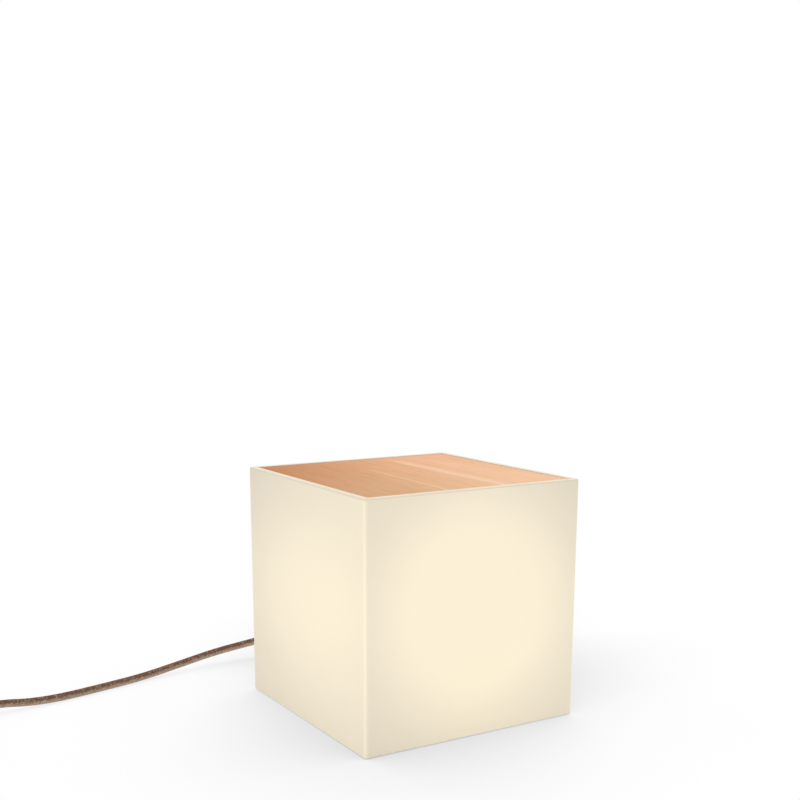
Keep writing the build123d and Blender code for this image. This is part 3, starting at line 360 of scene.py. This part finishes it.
def oiled_wood():
    """Fine straight grain along Y. The board pales from -X to +X and towards -Y by a painted reflection of
    the light, and has a short and a long pale streak."""
    wood = setting("lamp_wood")
    f = Finish("oiled wood", Specular_IOR_Level=0.0, Coat_Weight=0.22, Coat_Roughness=0.38)
    wavy = f.noise(f.stretched((18.0, 3.0, 18.0)), 1.0, 2.0)
    bent = f.vector("ADD", f.place(), f.vector("MULTIPLY", wavy, (0.006, 0.0, 0.0)))
    bands = f.noise(f.vector("MULTIPLY", bent, (95.0, 2.2, 60.0)), 1.0, 4.0, 0.6)
    fibres = f.noise(f.vector("MULTIPLY", bent, (900.0, 14.0, 700.0)), 1.0, 3.0, 0.6)
    pores = f.noise(f.vector("MULTIPLY", bent, (1500.0, 60.0, 1200.0)), 1.0, 1.0)

    # across runs from 0 at the -X edge to 1 at the +X edge, shifted a little by the grain's bands.
    x, y, _ = f.split(bent)
    across = f.math("ADD", f.math("MULTIPLY_ADD", x, 5.0, 0.43), f.math("MULTIPLY", bands, 0.12))
    dark, middle, light = wood.dark, wood.middle, wood.light
    # The ramp pales the wood from -X to +X with a painted reflection of the light.
    body = f.ramp(
        across, (0.02, dark), (0.16, between(dark, middle, 0.36)),
        (0.30, between(dark, middle, 0.64)), (0.42, middle),
        (0.60, between(middle, light, 0.44)), (0.80, light),
    )
    short = f.ramp(across, (0.39, 0.0), (0.41, 0.4), (0.435, 0.0))
    short = f.math("MULTIPLY", short, f.level(y, 0.04, 0.01, 0.0, 1.0))
    long = f.ramp(across, (0.625, 0.0), (0.655, 0.75), (0.70, 0.0))
    long = f.math("MULTIPLY", long, f.level(y, 0.09, 0.05, 0.0, 1.0))
    body = f.mix(f.math("ADD", short, long), body, wood.streak)
    # Painted reflection of the light: paler towards -Y.
    body = f.mix(f.level(y, 0.07, -0.07, 0.0, 0.20), body, (1.0, 0.83, 0.56))

    fine = f.mix(f.level(fibres, 0.40, 0.68, 0.0, 0.35), body, (0.70, 0.56, 0.42), "MULTIPLY")
    porous = f.mix(f.level(pores, 0.64, 0.8, 0.0, 0.5), fine, (0.55, 0.38, 0.25), "MULTIPLY")
    f.set(f.shader, "Base Color", porous)
    f.vary(fibres, 0.34, 0.5)
    f.bump(fibres, 0.12, 0.00012)
    return f


def plain_plastic(name, low, high, roughness=(0.32, 0.45), texture=600.0, relief=0.08):
    """Moulded plastic or rubber with a fine surface texture and faint clouding."""
    f = Finish(name, IOR=1.48)
    f.set(f.shader, "Base Color", f.ramp(f.noise(f.place(), 90.0), (0.3, low), (0.7, high)))
    fine = f.noise(f.place(), texture, 2.0)
    f.vary(fine, *roughness)
    f.bump(fine, relief, 0.0001)
    return f


def plain_metal(name, low, high, roughness=(0.18, 0.34)):
    """Metal with fine drawing marks."""
    f = Finish(name, Metallic=1.0)
    marks = f.noise(f.stretched((300.0, 300.0, 2600.0)), 1.0, 2.0)
    f.set(f.shader, "Base Color", f.ramp(f.noise(f.place(), 120.0), (0.3, low), (0.7, high)))
    f.vary(marks, *roughness)
    f.bump(marks, 0.05, 0.00005)
    return f


def lit_dome():
    """Frosted dome, evenly lit and a little dimmer towards its foot."""
    f = Finish("lit opal dome", Base_Color=(0.9, 0.88, 0.82), Roughness=0.35)
    f.set(f.shader, "Emission Color", (1.0, 0.87, 0.58))
    _, _, z = f.split(f.place())
    f.set(f.shader, "Emission Strength", f.level(z, DOME_FOOT, DOME_SHOULDER, 0.9, 1.6))
    f.bump(f.noise(f.place(), 1200.0), 0.05, 0.00004)
    return f


def led_phosphor():
    f = Finish("lit phosphor", Roughness=0.5)
    cloud = f.noise(f.place(), 800.0)
    f.set(f.shader, "Base Color", f.ramp(cloud, (0.3, (0.9, 0.78, 0.2)), (0.7, (0.95, 0.85, 0.35))))
    f.set(f.shader, "Emission Color", (1.0, 0.85, 0.55))
    f.set(f.shader, "Emission Strength", 2.0)
    return f


def sleeved_pins():
    """Nickel pins, black sleeves on the half next to the plug's body."""
    f = plain_metal("nickel pin", (0.66, 0.64, 0.60), (0.74, 0.72, 0.68))
    _, y, _ = f.split(f.place())
    bare = f.level(y, SLEEVES_END, SLEEVES_END + SLEEVES_FADE, 1.0, 0.0)
    f.set(f.shader, "Metallic", bare)
    f.set(f.shader, "Base Color", f.mix(bare, (0.02, 0.018, 0.017), (0.72, 0.70, 0.66)))
    return f


def braided_cloth():
    """Brown yarn with beige flecks. The pattern follows the strands by the tube's UVs, and the cloth is paler
    underneath and shows more flecks there."""
    cloth = setting("lamp_cloth")
    f = Finish(
        "braided cloth", Roughness=0.9, Specular_IOR_Level=0.2, Sheen_Weight=0.12, Sheen_Roughness=0.6,
        Sheen_Tint=(0.8, 0.6, 0.45),
    )
    round_, along, _ = f.split(f.place("UV"))
    count = float(cloth.strands)
    turned = f.math("MULTIPLY", round_, count)
    run = f.math("MULTIPLY", along, count / cloth.lay)
    one, other = f.math("ADD", turned, run), f.math("SUBTRACT", turned, run)

    pieces = f.flat(f.math("FLOOR", f.math("MULTIPLY", one, 2.0)), f.math("FLOOR", other))
    yarns = f.node("TexWhiteNoise", Vector=pieces)
    hairs = f.noise(f.flat(f.math("MULTIPLY", one, 9.0), f.math("MULTIPLY", other, 2.5)), 1.0, 2.0)
    patches = f.noise(f.flat(round_, f.math("MULTIPLY", along, 150.0)), 2.2, 2.0)
    _, _, upward = f.split(f.place("Normal"))
    # under is 1 where the cloth faces down and 0 where it faces up. The cloth is paler there and shows more
    # flecks.
    under = f.level(upward, 0.5, -0.5, 0.0, 1.0)

    brown = f.mix(f.level(patches, 0.35, 0.65, 0.0, 1.0), cloth.yarn, (0.150, 0.062, 0.033))
    underside_paling, hairy = f.level(under, 0.0, 1.0, 0.08, 1.0), f.level(hairs, 0.3, 0.6, 0.45, 1.0)
    paled_underneath = f.mix(f.math("MULTIPLY", underside_paling, hairy), brown, (0.52, 0.40, 0.32))
    fleck = f.level(f.math("MULTIPLY_ADD", under, 0.5, yarns), 0.84, 0.94, 0.0, 1.0)
    frayed, facing = f.level(hairs, 0.32, 0.55, 0.3, 0.95), f.level(under, 0.0, 1.0, 0.55, 1.0)
    shown = f.math("MULTIPLY", fleck, f.math("MULTIPLY", frayed, facing))
    f.set(f.shader, "Base Color", f.mix(shown, paled_underneath, cloth.fleck))
    f.bump(hairs, 0.5, 0.00025)
    return f


def loop_tape():
    f = Finish("loop tape", Roughness=0.95, Sheen_Weight=0.4)
    loops = f.node("TexVoronoi", Vector=f.place(), Scale=1600.0)
    f.set(f.shader, "Base Color", f.ramp(loops, (0.0, (0.03, 0.03, 0.032)), (0.8, (0.008, 0.008, 0.009))))
    f.bump(loops, 0.6, 0.0002)
    return f


# ---------------------------------------------------------------- shapes
def made(name, points, faces, finish, uvs=None, smooth=True):
    """A mesh object from points and faces, with its material."""
    mesh = bpy.data.meshes.new(name)
    mesh.from_pydata([tuple(p) for p in points], [], [tuple(face) for face in faces])
    mesh.materials.append(finish.material)
    if uvs is not None:
        layer = mesh.uv_layers.new(name="UVMap")
        layer.data.foreach_set("uv", np.asarray(uvs, np.float32).ravel())
    mesh.polygons.foreach_set("use_smooth", [smooth] * len(mesh.polygons))
    mesh.update()
    piece = bpy.data.objects.new(name, mesh)
    bpy.context.scene.collection.objects.link(piece)
    return piece


def centreline(name, route, spacing):
    """Even points along the smooth curve that a route controls."""
    data = bpy.data.curves.new(name, "CURVE")
    data.dimensions = "3D"
    data.resolution_u = 16
    spline = data.splines.new("NURBS")
    spline.points.add(len(route) - 1)
    for point, place in zip(spline.points, route):
        point.co = (*place, 1.0)
    spline.order_u = 3
    spline.use_endpoint_u = True
    curve = bpy.data.objects.new(name, data)
    bpy.context.scene.collection.objects.link(curve)
    bpy.context.view_layer.update()
    mesh = bpy.data.meshes.new_from_object(curve.evaluated_get(bpy.context.evaluated_depsgraph_get()))
    line = np.array([v.co for v in mesh.vertices])
    bpy.data.meshes.remove(mesh)
    bpy.data.objects.remove(curve)
    bpy.data.curves.remove(data)
    reached = np.concatenate([[0.0], np.cumsum(np.linalg.norm(np.diff(line, axis=0), axis=1))])
    count = int(reached[-1] / spacing) + 1
    at = np.linspace(0.0, reached[-1], count)
    return np.stack([np.interp(at, reached, line[:, axis]) for axis in range(3)], 1), at


def carried_frames(line):
    """Two cross directions at each point of a line, carried along it without twist."""
    ways = np.gradient(line, axis=0)
    ways /= np.linalg.norm(ways, axis=1)[:, None]
    side = np.cross(ways[0], (0.0, 0.0, 1.0))
    sides = np.empty_like(line)
    for index, way in enumerate(ways):
        side = side - way * side.dot(way)
        side /= np.linalg.norm(side)
        sides[index] = side
    return sides, np.cross(ways, sides)


def cloth_tube(name, route, finish):
    """A braided tube along a route, with its centreline. Strands cross over and under as shallow
    lozenges. The UVs are the turn around the tube and the metres along it."""
    cloth = setting("lamp_cloth")
    line, at = centreline(name, route, TUBE_STEP)
    sides, ups = carried_frames(line)
    turn = np.arange(TUBE_SIDES) / TUBE_SIDES
    round_, along = turn[None, :] * cloth.strands, at[:, None] * cloth.strands / cloth.lay
    over = np.abs(np.sin(np.pi * (round_ + along)) * np.sin(np.pi * (round_ - along))) ** 0.6
    radius = cloth.diameter / 2 - cloth.relief * (1.0 - over)
    angle = math.tau * turn[None, :, None]
    rings = line[:, None, :] + radius[:, :, None] * (
        np.cos(angle) * sides[:, None, :] + np.sin(angle) * ups[:, None, :]
    )

    last = (len(line) - 1) * TUBE_SIDES
    ring, step = np.meshgrid(np.arange(len(line) - 1), np.arange(TUBE_SIDES), indexing="ij")
    near, after = ring * TUBE_SIDES, (step + 1) % TUBE_SIDES
    far = near + TUBE_SIDES
    faces = np.stack([near + step, near + after, far + after, far + step], -1).reshape(-1, 4).tolist()
    faces += [list(range(TUBE_SIDES))[::-1], list(range(last, last + TUBE_SIDES))]
    u0, u1, v0, v1 = step / TUBE_SIDES, (step + 1) / TUBE_SIDES, at[ring], at[ring + 1]
    corners = [np.stack(corner, -1) for corner in ((u0, v0), (u1, v0), (u1, v1), (u0, v1))]
    ends = np.tile((0.5, 0.0), (2 * TUBE_SIDES, 1))
    uvs = np.concatenate([np.stack(corners, -2).reshape(-1, 2), ends])
    return made(name, rings.reshape(-1, 3), faces, finish, uvs), line


def turned_shell(name, outline, span, nickel, around=72):
    """A sheet metal sleeve turned about the Z axis, with a round thread between the two heights of span.
    outline is (radius, height) up the outside. The inside follows it, over the lip at the foot too."""
    outside = []
    for (r0, z0), (r1, z1) in zip(outline, outline[1:]):
        count = max(1, int(abs(z1 - z0) / (THREAD_PITCH / RINGS_PER_TURN)))
        outside += [(r0 + (r1 - r0) * i / count, z0 + (z1 - z0) * i / count) for i in range(count)]
    outside.append(outline[-1])
    low, high = span
    lip = outline[-1][0] - LIP_DEPTH
    points = []
    for inward in (0.0, SHEET_METAL):
        for radius, height in outside:
            fade = max(0.0, min(1.0, (height - low) / THREAD_FADE))
            fade = min(fade, max(0.0, (high - height) / THREAD_FADE))
            for step in range(around):
                angle = math.tau * step / around
                wave = (1.0 - math.cos(math.tau * height / THREAD_PITCH - angle)) / 2
                r = radius - inward - THREAD_DEPTH * fade * wave
                z = height + (inward if radius < lip else 0.0)
                points.append((r * math.cos(angle), r * math.sin(angle), z))
    rows, faces = len(outside), []
    loop = list(range(rows)) + [rows + i for i in reversed(range(rows))]
    for a, b in zip(loop, loop[1:] + loop[:1]):
        for step in range(around):
            after = (step + 1) % around
            faces.append((a * around + step, a * around + after, b * around + after, b * around + step))
    return made(name, points, faces, nickel)


def strap(name, path, x, finish, steps=6):
    """A band of tape along a closed path in the YZ plane at x, with round long edges."""
    path = np.array(path)
    ways = np.roll(path, -1, 0) - np.roll(path, 1, 0)
    ways /= np.linalg.norm(ways, axis=1)[:, None]
    out = np.stack([ways[:, 1], -ways[:, 0]], 1)
    section, half_thick = [], STRAP_THICKNESS / 2
    for side in (1, -1):
        for step in range(steps + 1):
            angle = math.pi * (step / steps - 0.5)
            across = STRAP_WIDTH / 2 - half_thick + half_thick * math.cos(angle)
            section.append((side * across, side * half_thick * math.sin(angle)))
    points, many = [], len(section)
    for place, away in zip(path, out):
        for across, rise in section:
            at = place + away * (rise + half_thick)
            points.append((x + across, at[0], at[1]))
    faces = []
    for ring in range(len(path)):
        below = (ring + 1) % len(path)
        for step in range(many):
            after = (step + 1) % many
            faces.append((ring * many + step, below * many + step, below * many + after, ring * many + after))
    return made(name, points, faces, finish)


def coil_points():
    """Control points of the coil, six to a half turn. The curve runs a little inside them."""
    points, outside = [], 1.0 / math.cos(math.pi / (2 * PER_HALF_TURN))
    for index, (radius, middle) in enumerate(HALF_TURNS):
        side = 1 if index % 2 == 0 else -1
        for step in range(PER_HALF_TURN):
            share = (step + 0.5) / PER_HALF_TURN
            angle = math.pi * share
            rise = 0.0 if index < CLIMB else 1.0 if index > CLIMB else share
            points.append((
                middle - side * radius * outside * math.cos(angle),
                COIL_Y - side * radius * outside * math.sin(angle),
                LOW_TURNS + rise * (HIGH_TURNS - LOW_TURNS),
            ))
    return points


def wrapped(centres, radius, steps=72):
    """The path of a band pulled tight round several equal circles."""
    path = []
    for step in range(steps):
        angle = math.tau * step / steps
        way = (math.cos(angle), math.sin(angle))
        y, z = max(centres, key=lambda c: c[0] * way[0] + c[1] * way[1])
        path.append((y + radius * way[0], z + radius * way[1]))
    return path


# ---------------------------------------------------------------- pieces
class LampOperator:
    """What the operators share."""

    bl_options = {"REGISTER", "UNDO"}


class LAMP_OT_walls(LampOperator, bpy.types.Operator):
    """Gives the four walls their lit opal acrylic"""

    bl_idname = "lamp.walls"
    bl_label = "Acrylic walls"

    def execute(self, context):
        dress(opal_acrylic(), "wall_front", "wall_right", "wall_rear", "wall_left")
        return {"FINISHED"}


class LAMP_OT_base(LampOperator, bpy.types.Operator):
    """Finishes the base plate, corner blocks, ledges, feet, pads and their screws"""

    bl_idname = "lamp.base"
    bl_label = "Base and ledges"

    def execute(self, context):
        dress(sheet_acrylic(), "base_plate", "base_blocks", "lid_ledges")
        silicone = plain_plastic("grey silicone", (0.30, 0.29, 0.28), (0.36, 0.35, 0.34), (0.5, 0.65))
        dress(silicone, "feet")
        bumper = plain_plastic("clear bumper", (0.72, 0.71, 0.68), (0.80, 0.79, 0.76), (0.15, 0.25))
        dress(bumper, "lid_pads")
        steel = plain_metal("zinc-plated steel", (0.50, 0.50, 0.50), (0.60, 0.60, 0.59))
        dress(steel, "base_screws", "holder_screws", "holder_nuts", "switch_screws", "rocker_pin")
        return {"FINISHED"}


class LAMP_OT_lid(LampOperator, bpy.types.Operator):
    """Gives the lid its oiled wood"""

    bl_idname = "lamp.lid"
    bl_label = "Wooden lid"

    def execute(self, context):
        dress(oiled_wood(), "wood_lid")
        return {"FINISHED"}


class LAMP_OT_holder(LampOperator, bpy.types.Operator):
    """Finishes the lampholder and makes its threaded shell"""

    bl_idname = "lamp.holder"
    bl_label = "Lampholder"

    def execute(self, context):
        white = plain_plastic("white thermoplastic", (0.78, 0.77, 0.73), (0.84, 0.83, 0.79))
        dress(white, "holder_base", "holder_insert", "holder_skirt")
        brass = plain_metal("brass", (0.62, 0.42, 0.16), (0.72, 0.50, 0.21))
        dress(brass, "centre_contact", "side_contact", "holder_terminals")
        dress(brass, "switch_terminals", "switch_contact")
        nickel = plain_metal("nickel-plated sheet", (0.62, 0.60, 0.56), (0.70, 0.68, 0.64))
        low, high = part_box("screw_shell")
        outline = [(0.0099, low.z), (0.01385, low.z), (0.01385, high.z)]
        shell = turned_shell("threaded_shell", outline, (low.z + 0.001, high.z), nickel)
        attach(shell, "lamp")
        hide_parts("screw_shell")
        return {"FINISHED"}


class LAMP_OT_bulb(LampOperator, bpy.types.Operator):
    """Finishes the bulb and makes its threaded cap"""

    bl_idname = "lamp.bulb"
    bl_label = "LED bulb"

    def execute(self, context):
        nickel = plain_metal("nickel-plated cap", (0.64, 0.63, 0.60), (0.72, 0.71, 0.68))
        low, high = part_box("bulb_cap")
        slant = low.z + 0.0012
        outline = [(0.0094, low.z), (0.0119, low.z), (0.0131, slant), (0.0131, high.z)]
        cap = turned_shell("threaded_cap", outline, (slant, high.z - 0.001), nickel)
        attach(cap, "bulb")
        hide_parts("bulb_cap")
        dress(nickel, "bulb_contact")
        glass = plain_plastic("black glass", (0.012, 0.010, 0.012), (0.02, 0.018, 0.02), (0.06, 0.12))
        dress(glass, "bulb_insulator")
        white = plain_plastic("white bulb plastic", (0.82, 0.82, 0.80), (0.88, 0.88, 0.86), (0.4, 0.55))
        dress(white, "bulb_housing")
        dress(lit_dome(), "bulb_globe")
        coated = plain_metal("white-coated aluminium", (0.80, 0.80, 0.79), (0.88, 0.88, 0.87))
        dress(coated, "led_board")
        dress(led_phosphor(), "led_chips")
        dress(plain_plastic("green board", (0.02, 0.10, 0.045), (0.03, 0.13, 0.06)), "driver_board")
        dress(plain_plastic("moulded parts", (0.02, 0.02, 0.022), (0.04, 0.04, 0.045)), "driver_parts")
        return {"FINISHED"}


class LAMP_OT_cords(LampOperator, bpy.types.Operator):
    """Makes the two cloth-covered cords, and the one inside the lamp"""

    bl_idname = "lamp.cords"
    bl_label = "Cloth cords"

    def execute(self, context):
        cloth = braided_cloth()
        dress(cloth, "switch_tails")
        lead, line = cloth_tube("lamp_cord", LAMP_ROUTE, cloth)
        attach(lead, "lamp")
        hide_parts("lamp_lead")
        rest, line = cloth_tube("plug_cord", [*TO_COIL, *coil_points(), *TO_PLUG], cloth)
        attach(rest, "lamp")
        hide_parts("plug_lead", "cord_coil", "plug_tail")
        inner, _ = cloth_tube("inner_lead", INNER_ROUTE, cloth)
        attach(inner, "lamp")
        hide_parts("inner_cord")
        return {"FINISHED"}


class LAMP_OT_strap(LampOperator, bpy.types.Operator):
    """Makes the strap that holds the coil"""

    bl_idname = "lamp.strap"
    bl_label = "Coil strap"

    def execute(self, context):
        low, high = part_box("coil_tie")
        path = wrapped(STRAP_TURNS, STRAP_RADIUS)
        band = strap("coil_strap", path, (low.x + high.x) / 2, loop_tape())
        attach(band, "lamp")
        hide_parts("coil_tie")
        return {"FINISHED"}


class LAMP_OT_entry(LampOperator, bpy.types.Operator):
    """Finishes the rubber bush, its nut and the cores"""

    bl_idname = "lamp.entry"
    bl_label = "Cord entry"

    def execute(self, context):
        rubber = plain_plastic("black rubber", (0.022, 0.020, 0.019), (0.034, 0.031, 0.029), (0.55, 0.7))
        dress(rubber, "cord_bush")
        dress(plain_plastic("black nylon", (0.018, 0.017, 0.016), (0.028, 0.026, 0.024)), "bush_nut")
        insulation = plain_plastic("core insulation", (0.10, 0.045, 0.02), (0.14, 0.065, 0.03))
        dress(insulation, "core_wires", "switch_cores")
        return {"FINISHED"}


class LAMP_OT_switch(LampOperator, bpy.types.Operator):
    """Finishes the switch in the cord"""

    bl_idname = "lamp.switch"
    bl_label = "Switch"

    def execute(self, context):
        textured = plain_plastic(
            "black switch plastic", (0.020, 0.018, 0.016), (0.030, 0.027, 0.024), (0.38, 0.52), 1500.0, 0.2
        )
        dress(textured, "switch_base", "switch_cover")
        polished = plain_plastic(
            "polished rocker", (0.018, 0.016, 0.015), (0.024, 0.022, 0.020), (0.16, 0.24), 900.0, 0.03
        )
        dress(polished, "switch_rocker")
        return {"FINISHED"}


class LAMP_OT_plug(LampOperator, bpy.types.Operator):
    """Finishes the plug"""

    bl_idname = "lamp.plug"
    bl_label = "Plug"

    def execute(self, context):
        moulded = plain_plastic(
            "black plug plastic", (0.022, 0.020, 0.018), (0.032, 0.029, 0.026), (0.4, 0.55), 1200.0, 0.15
        )
        dress(moulded, "plug_body")
        dress(sleeved_pins(), "plug_pins")
        return {"FINISHED"}


class LAMP_OT_stage(LampOperator, bpy.types.Operator):
    """Sets the floor, the light and the camera"""

    bl_idname = "lamp.stage"
    bl_label = "Stage"

    def execute(self, context):
        stage = setting("lamp_stage")
        context.scene.view_settings.view_transform = "Standard"
        self.floor()
        self.surround(stage)
        self.soft_lamp(stage)
        self.camera(stage)
        return {"FINISHED"}

    def floor(self):
        """A pale floor that shows white to the camera, and darker close to what stands on it. The shading
        is deepened towards the lamp's +X +Y corner and the one across from it, and weakened elsewhere."""
        f = Finish("pale floor", Base_Color=(0.80, 0.80, 0.80), Roughness=0.8)
        open_above = f.node("AmbientOcclusion", output=1, Distance=0.5)
        tone = f.ramp(open_above, (0.0, 0.52), (0.5, 0.775), (0.94, 1.0))
        x, y, _ = f.split(f.place())
        plane = f.math("MULTIPLY_ADD", x, 3.0, f.math("MULTIPLY_ADD", y, 2.7, 1.28))
        depth = f.math("MULTIPLY_ADD", f.math("MULTIPLY", x, y), 40.0, plane)
        depth = f.node("Clamp", Value=depth, Min=0.45, Max=4.0)
        tone = f.math("SUBTRACT", 1.0, f.math("MULTIPLY", f.math("SUBTRACT", 1.0, tone), depth))
        seen = f.node("Emission", Color=tone, Strength=1.0)
        shown = f.node("MixShader", i0=f.direct_rays(), i1=f.shader.outputs[0], i2=seen)
        f.set(f.tree.nodes["Material Output"], "Surface", shown)
        corners = [(-6, -6, 0), (6, -6, 0), (6, 6, 0), (-6, 6, 0)]
        made("floor", corners, [(0, 1, 2, 3)], f, smooth=False)

    def surround(self, stage):
        """Even light all round, and plain white where the eye meets it."""
        world = bpy.data.worlds.new("pale room")
        bpy.context.scene.world = world
        world.use_nodes = True
        room = Nodes(world.node_tree)
        light = room.tree.nodes["Background"]
        room.set(light, "Color", (1.0, 1.0, 1.0))
        room.set(light, "Strength", stage.sky)
        white = room.node("Background", Color=(1.0, 1.0, 1.0), Strength=1.0)
        shown = room.node("MixShader", i0=room.direct_rays(), i1=light.outputs[0], i2=white)
        room.set(room.tree.nodes["World Output"], "Surface", shown)

    def soft_lamp(self, stage):
        """A wide round lamp overhead that faces straight down."""
        data = bpy.data.lights.new("overhead lamp", "AREA")
        data.shape, data.size, data.energy = "DISK", 1.4, stage.lamp
        lamp = bpy.data.objects.new("overhead lamp", data)
        bpy.context.scene.collection.objects.link(lamp)
        lamp.matrix_world = Matrix.Translation((0.0, 0.0, 1.6))

    def camera(self, stage):
        data = bpy.data.cameras.new("camera")
        data.sensor_width, data.lens, data.shift_y = 36.0, stage.lens, CAMERA_SHIFT
        data.clip_start, data.clip_end = 0.01, 50.0
        level, rise = math.cos(CAMERA_DIP), -math.sin(CAMERA_DIP)
        ahead = Vector((math.cos(CAMERA_HEADING) * level, math.sin(CAMERA_HEADING) * level, rise))
        right = Vector((math.sin(CAMERA_HEADING), -math.cos(CAMERA_HEADING), 0.0))
        above = right.cross(ahead)
        cosine, sine = math.cos(CAMERA_ROLL), math.sin(CAMERA_ROLL)
        right, above = right * cosine + above * sine, above * cosine - right * sine
        turned = Matrix((right, above, -ahead)).transposed().to_4x4()
        camera = bpy.data.objects.new("camera", data)
        bpy.context.scene.collection.objects.link(camera)
        camera.matrix_world = Matrix.Translation(CAMERA_PLACE) @ turned
        bpy.context.scene.camera = camera


# ---------------------------------------------------------------- panel and registration
OPERATORS = (
    LAMP_OT_stage, LAMP_OT_strap, LAMP_OT_cords, LAMP_OT_walls, LAMP_OT_base, LAMP_OT_lid, LAMP_OT_holder,
    LAMP_OT_bulb, LAMP_OT_entry, LAMP_OT_switch, LAMP_OT_plug,
)


class LAMP_PT_pieces(bpy.types.Panel):
    """Lists the lamp's settings and pieces"""

    bl_idname = "LAMP_PT_pieces"
    bl_label = "Cube Lamp"
    bl_space_type = "VIEW_3D"
    bl_region_type = "UI"
    bl_category = "Cube Lamp"

    def draw(self, context):
        for operator in OPERATORS:
            self.layout.operator(operator.bl_idname)
        for name in SETTINGS:
            box, group = self.layout.box(), getattr(context.scene, name)
            for key in group.bl_rna.properties.keys():
                if key not in ("rna_type", "name"):
                    box.prop(group, key)


CLASSES = (*SETTINGS.values(), *OPERATORS, LAMP_PT_pieces)


def register():
    for cls in CLASSES:
        bpy.utils.register_class(cls)
    for name, group in SETTINGS.items():
        setattr(bpy.types.Scene, name, bpy.props.PointerProperty(type=group))


def unregister():
    for name in SETTINGS:
        delattr(bpy.types.Scene, name)
    for cls in reversed(CLASSES):
        bpy.utils.unregister_class(cls)


def main():
    register()
    for operator in OPERATORS:
        group, name = operator.bl_idname.split(".")
        result = getattr(getattr(bpy.ops, group), name)()
        if "FINISHED" not in result:
            raise RuntimeError(f"{operator.bl_idname} didn't finish")


if __name__ == "__main__":
    main()
